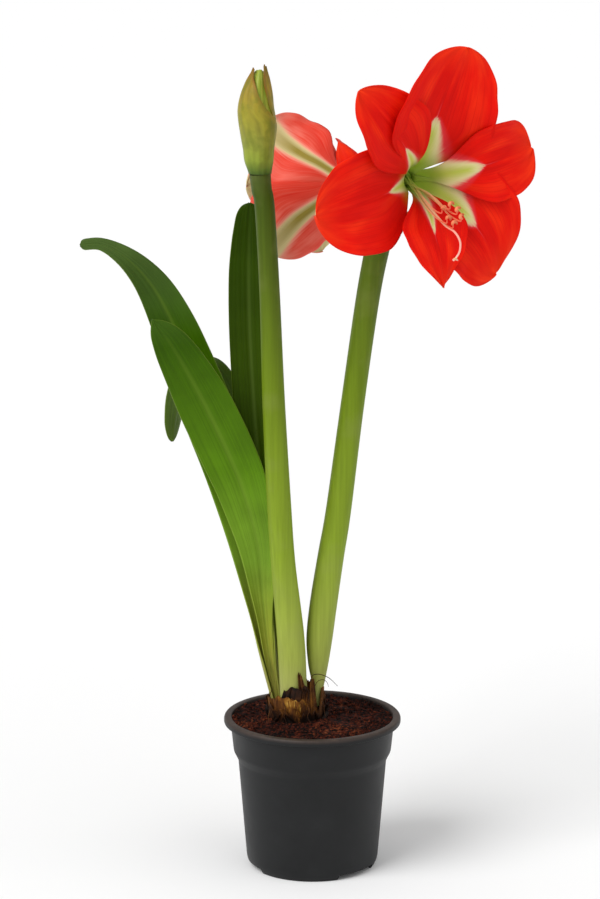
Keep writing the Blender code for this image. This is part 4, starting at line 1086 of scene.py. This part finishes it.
# Each stalk: its node, its rows, and x, y, z and radius along it
STALKS = {
    "stalk_front": (
        "front_stalk",
        60,
        (
            (0.0540, -0.0055, 0.4795, 0.0030),
            (0.0540, -0.0055, 0.4860, 0.0030),
            (0.0540, -0.0100, 0.5020, 0.0030),
            (0.0532, -0.0185, 0.5130, 0.0031),
            (0.0537, -0.0285, 0.5157, 0.0040),
            (0.0561, -0.0325, 0.5158, 0.0062),
            (0.0585, -0.0368, 0.5156, 0.0062),
            (0.0611, -0.0411, 0.5154, 0.0050),
        ),
    ),
    "stalk_back": (
        "back_stalk",
        60,
        (
            (0.0496, 0.0058, 0.4795, 0.0029),
            (0.0496, 0.0058, 0.4860, 0.0029),
            (0.0440, 0.0080, 0.4980, 0.0030),
            (0.0375, 0.0090, 0.5045, 0.0032),
            (0.0329, 0.0143, 0.5054, 0.0042),
            (0.0305, 0.0180, 0.5050, 0.0062),
            (0.0280, 0.0219, 0.5045, 0.0062),
            (0.0255, 0.0257, 0.5040, 0.0050),
        ),
    ),
    "stalk_of_closed_flower": (
        "red_bud_stalk",
        30,
        (
            (0.0448, -0.0040, 0.4795, 0.0028),
            (0.0448, -0.0040, 0.4845, 0.0028),
            (0.0415, -0.0047, 0.4935, 0.0030),
            (0.0383, -0.0051, 0.4990, 0.0040),
        ),
    ),
}
stalk_green = stem_finish("stalk_skin", ((0.0, "6E8E22"), (0.85, "6E8E22"), (1.0, "7A9A2C")))
for name, (node, rows, stations) in STALKS.items():
    stalk = add_tube(name, STALK_COLUMNS, rows, stations, STALK_FLUTE)
    settle(stalk, name, stalk_green, TUBE_SMOOTH)
    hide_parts(node)
    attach(stalk, "root")

# Blooms: six silky tepals in two rings of three, grown together into a short green tube. A
# cream and green star runs out of the throat inside, and a pale green rib up each back.
TUBE_LENGTH = 0.0160
TUBE_COLUMNS = 36
TUBE_ROWS = 28
TUBE_FLUTE = 0.02
# Depth from the flower's foot and radius, out along the tube and back inside it
TUBE_OUTLINE = (
    (0.0003, 0.0046), (0.0012, 0.0052), (0.0028, 0.0056), (0.0042, 0.0058),
    (0.0050, 0.0056), (0.0050, 0.0050), (0.0040, 0.0044), (0.0026, 0.0038),
)
TEPAL_ROOT = (0.0050, 0.0050)
TEPAL_THICKNESS = 0.0006
TEPAL_COLUMNS = 48
TEPAL_ROWS = 64
TEPAL_LEAST = 0.0008
RING_GAP = 0.0042
WAVE_HEIGHT = 0.0015
FRILL_HEIGHT = 0.0007
RIB_DEPTH = 0.0008
RIB_WIDTH = 0.0018
BUCKLE_HEIGHT = 0.0016
FOLD_HEIGHT = 0.0006
# Each tepal: turn by the clock, how much further round its tip is, how far its tip is from the
# flower's axis and in front of its foot, its angles at the throat and at the tip, half its width,
# how late and how suddenly it closes, how hollow it is, where it reaches its full width, its
# ring (1 is the inner one), and the length and half the width of its part of the star
TEPAL_KEYS = (
    "turn", "skew", "reach", "rise", "lean", "tip_lean", "half_width", "round", "blunt", "hollow",
    "full", "ring", "star", "star_width",
)
# Each flower: its tepals, the pull of their curves at the throat and at the tip, its foot, its
# yaw and pitch, how narrow its tepals start, how far its funnel bows to its right before it
# opens, and how long its stamens are
FLOWER_KEYS = ("tepals", "arms", "foot", "facing", "waist", "bow", "stamens")
FRONT_TEPALS = (
    (1.0, 12.0, 0.0967, 0.046, 45.0, 95.0, 0.045, 4.2, 0.60, 0.070, 0.44, 0, 0.056, 0.0200),
    (75.5, -0.5, 0.0831, 0.040, 45.0, 95.0, 0.0285, 12.0, 0.50, 0.070, 0.70, 1, 0.054, 0.0170),
    (123.5, 16.0, 0.0874, 0.040, 45.0, 95.0, 0.039, 5.0, 0.50, 0.070, 0.54, 0, 0.060, 0.0190),
    (179.0, -4.0, 0.0706, 0.046, 45.0, 95.0, 0.033, 2.4, 0.85, 0.140, 0.55, 1, 0.046, 0.0062),
    (260.0, 0.0, 0.0911, 0.036, 45.0, 95.0, 0.0385, 5.0, 0.50, 0.110, 0.50, 0, 0.034, 0.0085),
    (321.0, -4.0, 0.0936, 0.042, 45.0, 95.0, 0.031, 3.6, 0.65, 0.070, 0.60, 1, 0.042, 0.0080),
)
BACK_TEPALS = (
    (36.0, 0.0, 0.0540, 0.058, 40.0, 70.0, 0.037, 4.5, 0.50, 0.060, 0.58, 0, 0.050, 0.0110),
    (91.0, 0.0, 0.0483, 0.060, 38.0, 70.0, 0.028, 5.0, 0.55, 0.060, 0.60, 1, 0.050, 0.0100),
    (145.0, 0.0, 0.0604, 0.058, 40.0, 70.0, 0.040, 4.5, 0.50, 0.060, 0.58, 0, 0.050, 0.0110),
    (196.0, 0.0, 0.0550, 0.060, 38.0, 70.0, 0.029, 5.0, 0.55, 0.060, 0.60, 1, 0.050, 0.0100),
    (262.0, 0.0, 0.0500, 0.060, 36.0, 68.0, 0.036, 5.0, 0.55, 0.060, 0.58, 0, 0.050, 0.0110),
    (335.0, 0.0, 0.0420, 0.060, 38.0, 70.0, 0.029, 5.0, 0.55, 0.060, 0.60, 1, 0.050, 0.0100),
)
FRONT_FOOT = Vector((0.0613, -0.0414, 0.5154))
BACK_FOOT = Vector((0.0253, 0.0260, 0.5040))
FLOWERS = {
    "front": (FRONT_TEPALS, (0.030, 0.035), FRONT_FOOT, (31.0, -2.0), 0.15, 0.0052, 1.0),
    "back": (BACK_TEPALS, (0.026, 0.028), BACK_FOOT, (-147.0, -6.0), 0.26, 0.0, 0.9),
}
FLOWERS = {side: dict(zip(FLOWER_KEYS, values)) for side, values in FLOWERS.items()}


def flower_frame(facing):
    """The directions forwards, up and right of a flower, from its yaw and pitch."""
    turn, tilt = [math.radians(value) for value in facing]
    level = math.cos(tilt)
    forward = Vector((math.sin(turn) * level, -math.cos(turn) * level, math.sin(tilt)))
    up = square_to(Vector((0.0, 0.0, 1.0)), forward)
    return forward, up, up.cross(forward).normalized()


def tepal_point(tepal, flower, sizes):
    """The surface of one tepal. It also notes each point's real distances, for the markings."""
    forward, up, right = flower_frame(flower["facing"])
    lean = math.radians(tepal["lean"])
    tip_lean = math.radians(tepal["tip_lean"])
    root = Vector(TEPAL_ROOT)
    throat = Vector((TEPAL_ROOT[0], TUBE_LENGTH))
    lower = throat + flower["arms"][0] * Vector((math.sin(lean), math.cos(lean)))
    tip = Vector((tepal["reach"], tepal["rise"]))
    upper = tip - flower["arms"][1] * Vector((math.sin(tip_lean), math.cos(tip_lean)))
    length = 1.08 * (tip - root).length

    def place(across, share):
        column = math.copysign(abs(across) ** 1.15, across)
        v = math.sin(share * math.pi / 2.0)
        w = 1.0 - v
        spot = w**3 * root + 3 * w * w * v * lower + 3 * w * v * v * upper + v**3 * tip
        run = 3 * w * w * (lower - root) + 6 * w * v * (upper - lower) + 3 * v * v * (tip - upper)
        run.normalize()
        turn = math.radians(tepal["turn"] + tepal["skew"] * v * v)
        outward = math.cos(turn) * up + math.sin(turn) * right
        around = math.cos(turn) * right - math.sin(turn) * up
        inner = run[0] * forward - run[1] * outward
        blade = flower["waist"] + (1.0 - flower["waist"]) * eased(0.03, tepal["full"], v)
        half_width = tepal["half_width"] * blade * (1.0 - v ** tepal["round"]) ** tepal["blunt"]
        half_width = max(half_width, TEPAL_LEAST)
        tube = 1.0 - eased(0.05, 0.45, v)
        bend = tube / max(spot[0], 0.004) + (1.0 - tube) / tepal["hollow"]
        angle = column * half_width * bend
        lift = (1.0 - math.cos(angle)) / bend
        side = 0.21 if column > 0 else -0.21
        wave = math.sin(2.0 * math.pi * (2.0 * v + side)) * eased(0.3, 0.7, v)
        lift += WAVE_HEIGHT * abs(column) ** 2.2 * wave
        beat = 2.0 * math.pi * (5.3 * v + 0.4 * side + tepal["turn"] * 0.013)
        lift += FRILL_HEIGHT * abs(column) ** 4.0 * math.sin(beat) * eased(0.35, 0.7, v)
        from_rib = column * half_width
        opened = eased(0.12, 0.35, v) * (1.0 - 0.6 * v)
        lift -= RIB_DEPTH * opened * math.exp(-((from_rib / RIB_WIDTH) ** 2))
        spread = Vector((across * 2.2 + tepal["turn"], v * 2.5, tepal["reach"] * 100.0))
        lift += BUCKLE_HEIGHT * noise.noise(spread) * eased(0.25, 0.6, v)
        folds = math.cos(3.4 * math.pi * column) * eased(0.2, 0.5, v) * (1.0 - 0.6 * v)
        lift += FOLD_HEIGHT * folds + RING_GAP * (tepal["ring"] - 0.5) * eased(0.04, 0.25, v)
        sizes.append((from_rib, v * length))
        middle = flower["foot"] + spot[0] * outward + spot[1] * forward
        middle += right * flower["bow"] * eased(0.0, 0.10, v) * (1.0 - eased(0.14, 0.62, v))
        return middle + around * math.sin(angle) / bend + inner * lift

    return place


def tepal_finish(name, marks, field, veins, washes, steps):
    """Living petal: soft clouds, fine veins, washes along it, and marks that fade in by steps."""
    petal, tree, shader = new_finish(name)
    uv = add_node(tree, "UVMap")
    run = add_node(tree, "SeparateXYZ", {"Vector": uv}, output="Y")
    streaks = add_streaks(tree, uv, (120.0, 1.4, 1.0), 3.0)
    clouds = add_streaks(tree, uv, (4.0, 1.5, 1.0), 3.0)
    colour = add_node(tree, "ValToRGB", {"Fac": clouds}, field)
    colour = add_tint(tree, colour, veins[0], streaks, (0.48, 0.66), (0.0, veins[1]))
    for tint, span, shares in washes:
        colour = add_tint(tree, colour, tint, run, span, shares)
    feather = add_node(tree, "MapRange", over(streaks, (0.3, 0.7), (-0.13, 0.13)))
    mark = add_node(tree, "Attribute", attribute_name=marks, output="Fac")
    mark = add_node(tree, "Math", {0: mark, 1: feather}, operation="ADD")
    for tint, span, share in steps:
        colour = add_tint(tree, colour, tint, mark, span, (0.0, share), smooth=True)
    if marks == "star":
        colour = add_tint(tree, colour, "7A9A1C", run, (0.03, 0.15), (0.8, 0.0), smooth=True)
    else:
        foot = add_node(tree, "MapRange", over(run, (0.35, 0.80), (1.0, 0.15)))
        colour = add_tint(tree, colour, "8A7A2C", mark, (0.20, 0.75), (0.0, 0.95), mask=foot)
    dress(tree, shader, colour, 0.52, 0.10, 1.38, (streaks, 0.20, 0.0003))
    return petal


# Inside of a tepal: clear red with darker veins and orange at the tip, and a star that goes from pink
# through cream to green. It is darker deeper in the funnel, a painted shade, and its clouds hold
# brighter orange patches that are painted sheen. The throat is green.
tepal_inside = tepal_finish(
    "tepal_inside",
    "star",
    # The red of the clouds: the tepal's own uneven red, with brighter orange patches that are painted
    # sheen.
    ((0.30, "C80703"), (0.50, "E01306"), (0.68, "F5310F")),
    ("B40402", 0.34),
    # The first wash darkens the red deeper in the funnel: painted shade.
    (("B00402", (0.02, 0.36), (0.55, 0.0)), ("F8481C", (0.60, 1.0), (0.0, 0.45))),
    (
        ("D8434C", (-0.80, 0.05), 0.60),
        ("DDB092", (-0.10, 0.25), 0.85),
        ("D6D296", (0.08, 0.45), 0.95),
        ("B6C64A", (0.34, 1.00), 0.90),
    ),
)
# Back of a tepal: salmon with paler veins and a cream rib, olive along its middle.
tepal_outside = tepal_finish(
    "tepal_outside",
    "rib",
    ((0.34, "D4281A"), (0.50, "DE4636"), (0.66, "E87262")),
    ("F0988A", 0.16),
    (("C23A28", (0.02, 0.30), (0.55, 0.0)), ("EDAE98", (0.60, 1.0), (0.0, 0.55))),
    (("E9A08C", (-0.40, 0.20), 0.7), ("D2C692", (0.00, 0.40), 0.95)),
)


def make_bloom(name, flower):
    """One open flower: its six tepals, each marked for the colours, and its tube."""
    parts = []
    for values in flower["tepals"]:
        tepal = dict(zip(TEPAL_KEYS, values))
        sizes = []
        surface = tepal_point(tepal, flower, sizes)
        sheet = add_sheet("tepal", TEPAL_COLUMNS, TEPAL_ROWS, surface)
        star = sheet.data.attributes.new("star", "FLOAT", "POINT")
        rib = sheet.data.attributes.new("rib", "FLOAT", "POINT")
        for index, (from_rib, run) in enumerate(sizes):
            left = 1.0 - run / tepal["star"]
            width = tepal["star_width"] * max(left, 0.0) ** 0.75 + 0.0002
            star.data[index].value = max(min(1.0 - abs(from_rib) / width, left * 3.0), -1.0)
            width = 0.0046 + 0.095 * max(run - 0.012, 0.0)
            rib.data[index].value = max(1.0 - abs(from_rib) / width, -1.0)
        sheet.data.materials.append(tepal_inside)
        sheet.data.materials.append(tepal_outside)
        give_thickness(sheet, TEPAL_THICKNESS, back=1)
        parts.append(sheet)
    forward, _, _ = flower_frame(flower["facing"])
    stations = [(*(flower["foot"] + forward * depth), radius) for depth, radius in TUBE_OUTLINE]
    parts.append(add_tube("tube", TUBE_COLUMNS, TUBE_ROWS, stations, TUBE_FLUTE, stalk_green))
    return settle(join_all(parts), name)


for side, flower in FLOWERS.items():
    bloom = make_bloom("flower_" + side, flower)
    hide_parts("bloom_" + side)
    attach(bloom, "root")

# Closed flower: the third bloom of the right stem, its tepals still rolled round each other,
# green at the foot and red above.
CLOSED_FOOT = Vector((0.0383, -0.0051, 0.4990))
CLOSED_TIP = Vector((0.0177, -0.0080, 0.5364))
# Radius at even steps from the foot to the tip
CLOSED_RADII = (0.0040, 0.0062, 0.0083, 0.0096, 0.0098, 0.0088, 0.0068, 0.0040, 0.0004)
CLOSED_RADII = [(radius,) for radius in CLOSED_RADII]
CLOSED_FOLD = 0.15
CLOSED_SPIRAL = 0.55
CLOSED_COLUMNS = 120
CLOSED_ROWS = 70
CLOSED_GREEN = 0.9
CLOSED_FADE = 2.6


def closed_flower_point(across, share):
    """The rolled tepals: three overlapping edges run up the flower in a slow spiral."""
    forward = (CLOSED_TIP - CLOSED_FOOT).normalized()
    side = forward.cross(Vector((0.0, 1.0, 0.0))).normalized()
    back = forward.cross(side)
    turn = math.pi * across
    lap = (3.0 * (across + 1.0) / 2.0 + CLOSED_SPIRAL * share) % 1.0
    fold = 1.0 + CLOSED_FOLD * (lap - 0.5) * eased(0.05, 0.4, share)
    radius = along(CLOSED_RADII, share)[0] * fold
    middle = CLOSED_FOOT.lerp(CLOSED_TIP, share)
    return middle + (side * math.cos(turn) + back * math.sin(turn)) * radius


closed_flower = add_sheet("closed_flower", CLOSED_COLUMNS, CLOSED_ROWS, closed_flower_point)
closed_star = closed_flower.data.attributes.new("star", "FLOAT", "POINT")
for index, item in enumerate(closed_star.data):
    item.value = CLOSED_GREEN - CLOSED_FADE * (index // (CLOSED_COLUMNS + 1)) / CLOSED_ROWS
close_tube(closed_flower)
settle(closed_flower, "closed_flower", tepal_inside, TUBE_SMOOTH)
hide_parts("red_bud")
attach(closed_flower, "root")

# Withered bracts: the dried sheath of the right stem, split in two and hanging back from the
# top of the stem, thin as paper.
WITHERED_THICKNESS = 0.0005
WITHERED_TONE = 0.62
WITHERED_CELLS = (20, 44)
CRUMPLE_BROAD = 0.0012
CRUMPLE_FINE = 0.0006
# Each bract: its stations as a leaf's, the direction across it, and the seed of its creases
WITHERED_BRACTS = {
    "back": (
        (
            (0.0500, 0.0108, 0.4720, 0.0045, 0.0100),
            (0.0510, 0.0150, 0.4830, 0.0075, 0.0110),
            (0.0540, 0.0250, 0.4880, 0.0085, 0.0120),
            (0.0570, 0.0360, 0.4820, 0.0070, 0.0110),
            (0.0590, 0.0440, 0.4680, 0.0010, 0.0100),
        ),
        (-1.0, 0.2, 0.0),
        2.3,
    ),
    "right": (
        (
            (0.0610, 0.0020, 0.4700, 0.0045, 0.0100),
            (0.0640, 0.0040, 0.4800, 0.0070, 0.0100),
            (0.0720, 0.0080, 0.4850, 0.0080, 0.0110),
            (0.0800, 0.0120, 0.4790, 0.0060, 0.0110),
            (0.0850, 0.0140, 0.4660, 0.0010, 0.0100),
        ),
        (-0.3, 1.0, 0.0),
        7.9,
    ),
}


def withered_point(stations, side, seed):
    """A dry bract: the curve of a leaf, crumpled."""
    flat = strap_point(stations, (side, side))

    def place(across, share):
        crumple = Vector((across * 2.0 + seed, share * 3.0, seed))
        fold = CRUMPLE_BROAD * noise.noise(crumple) + CRUMPLE_FINE * noise.noise(crumple * 3.1)
        return flat(across, share) + Vector((0.0, 0.0, fold * eased(0.05, 0.3, share)))

    return place


for name, (stations, side, seed) in WITHERED_BRACTS.items():
    withered = add_sheet(name, *WITHERED_CELLS, withered_point(stations, side, seed))
    set_tone(withered, WITHERED_TONE)
    give_thickness(withered, WITHERED_THICKNESS)
    settle(withered, "withered_bract_" + name, dry_skin, SCALE_SMOOTH)
    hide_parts("dry_bract_" + name)
    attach(withered, "root")

# Stamens and style: six thin filaments and one longer style rise from the throat, lie along
# the lower side and curve up at their ends. The anthers have opened and curled.
THREAD_RING = 0.0026
THREAD_FOOT = 0.0050
# Each filament half way and at its end, in the flower's own frame: right, up, forward
FILAMENTS = (
    ((-0.0030, -0.0082, 0.0340), (-0.0033, -0.0159, 0.0560)),
    ((-0.0022, -0.0131, 0.0340), (-0.0017, -0.0223, 0.0600)),
    ((0.0006, -0.0151, 0.0360), (0.0007, -0.0253, 0.0640)),
    ((0.0005, -0.0053, 0.0360), (-0.0009, -0.0124, 0.0620)),
    ((0.0025, -0.0073, 0.0380), (0.0016, -0.0153, 0.0670)),
    ((0.0043, -0.0102, 0.0380), (0.0030, -0.0197, 0.0700)),
)
FILAMENT_RADIUS = 0.00055
FILAMENT_TAPER = (1.5, 1.3, 1.1, 1.0, 0.9, 0.6)
FILAMENT_SAG = 0.0016
ANTHER_RADIUS = 0.0013
ANTHER_CURL = 0.0017
ANTHER_STEPS = 8
STYLE = (
    (0.0008, -0.0012, 0.0045),
    (0.0006, -0.0040, 0.0150),
    (-0.0006, -0.0105, 0.0290),
    (-0.0006, -0.0182, 0.0430),
    (0.0003, -0.0252, 0.0560),
    (0.0019, -0.0285, 0.0655),
    (0.0036, -0.0345, 0.0700),
    (0.0038, -0.0415, 0.0695),
    (0.0028, -0.0466, 0.0665),
)
STYLE_RADIUS = 0.0008
# Along each lobe of the stigma: how far on, how far out, and its share of the style's radius
LOBE = (
    (-0.0004, 0.0, 0.75),
    (0.0007, 0.0006, 0.95),
    (0.0014, 0.0016, 0.85),
    (0.0017, 0.0024, 0.35),
)


def thread_finish(name, stops):
    """Fresh filament or anther: smooth and a little moist, its colour runs along it."""
    skin, tree, shader = new_finish(name)
    run = add_node(tree, "SeparateXYZ", {"Vector": add_node(tree, "UVMap")}, output="Y")
    body = add_node(tree, "ValToRGB", {"Fac": run}, stops)
    dress(tree, shader, body, 0.45, 0.25)
    return skin


pinks = ((0.0, "7E9E2C"), (0.22, "B4B85A"), (0.42, "DCA878"), (0.65, "E07A58"), (1.0, "E0523A"))
filament_skin = thread_finish("filament_skin", pinks)
creams = ((0.0, "A8B24A"), (0.30, "DDBB8C"), (0.60, "EDA08C"), (0.90, "F2B4A4"), (1.0, "F6D2C0"))
style_skin = thread_finish("style_skin", creams)
anther_skin = thread_finish("anther_skin", ((0.0, "C8502C"), (0.5, "E88A5E"), (1.0, "D9683E")))


def make_stamens(name, flower):
    """The filaments with their curled anthers, and the style with its three-lobed stigma."""
    forward, up, right = flower_frame(flower["facing"])
    length = flower["stamens"]

    def local(point):
        return flower["foot"] + right * point[0] + up * point[1] + forward * point[2]

    parts = []
    for index, (halfway, end) in enumerate(FILAMENTS):
        turn = 2.0 * math.pi * (index + 0.4) / len(FILAMENTS)
        first = Vector((THREAD_RING * math.cos(turn), THREAD_RING * math.sin(turn), THREAD_FOOT))
        halfway = Vector(halfway) * length
        end = Vector(end) * length
        sag = Vector((0.0, -FILAMENT_SAG * length, 0.0))
        rows = [first, first.lerp(halfway, 0.5) + sag * 0.5, halfway + sag]
        rows += [halfway.lerp(end, 0.55) + sag * 1.8, end + sag * 0.5]
        rows.append(end + Vector((0.0, 0.0022, 0.0012)))
        radii = [FILAMENT_RADIUS * taper for taper in FILAMENT_TAPER]
        stations = [(*local(row), radius) for row, radius in zip(rows, radii)]
        parts.append(add_tube("filament", 12, 40, stations, material=filament_skin))
        curl = []
        for step in range(ANTHER_STEPS + 1):
            share = step / ANTHER_STEPS
            bow = math.radians(-70.0 + 250.0 * share + 25.0 * index)
            size = ANTHER_CURL * (1.0 - 0.25 * share)
            round_end = (0.0010 + size * math.cos(bow), 0.0024 + size * math.sin(bow), 0.0010)
            spot = end + Vector(round_end) + Vector((0.0, 0.0, 0.0006 * math.cos(bow * 0.5)))
            full = math.sin(math.pi * (0.08 + 0.84 * share))
            curl.append((*local(spot), ANTHER_RADIUS * (0.35 + 0.55 * full)))
        parts.append(add_tube("anther", 12, 30, curl, 0.05, anther_skin))
    rows = [Vector(point) * (length if index else 1.0) for index, point in enumerate(STYLE)]
    radii = [STYLE_RADIUS * (1.25 - 0.06 * index) for index in range(len(rows))]
    stations = [(*local(row), radius) for row, radius in zip(rows, radii)]
    parts.append(add_tube("style", 14, 70, stations, material=style_skin))
    end = rows[-1]
    onward = (rows[-1] - rows[-2]).normalized()
    for index in range(3):
        turn = 2.0 * math.pi * index / 3.0 + 0.5
        out = Vector((math.cos(turn), 0.0, math.sin(turn)))
        lobe = [
            (*local(end + onward * on + out * off), STYLE_RADIUS * size) for on, off, size in LOBE
        ]
        parts.append(add_tube("lobe", 10, 12, lobe, material=style_skin))
    return settle(join_all(parts), name)


for side, flower in FLOWERS.items():
    stamens = make_stamens("stamens_of_" + side + "_flower", flower)
    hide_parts("stamens_" + side)
    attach(stamens, "root")

size = {"cad": [list(cad_low), list(cad_high)], "visual": [list(corner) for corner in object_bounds()]}
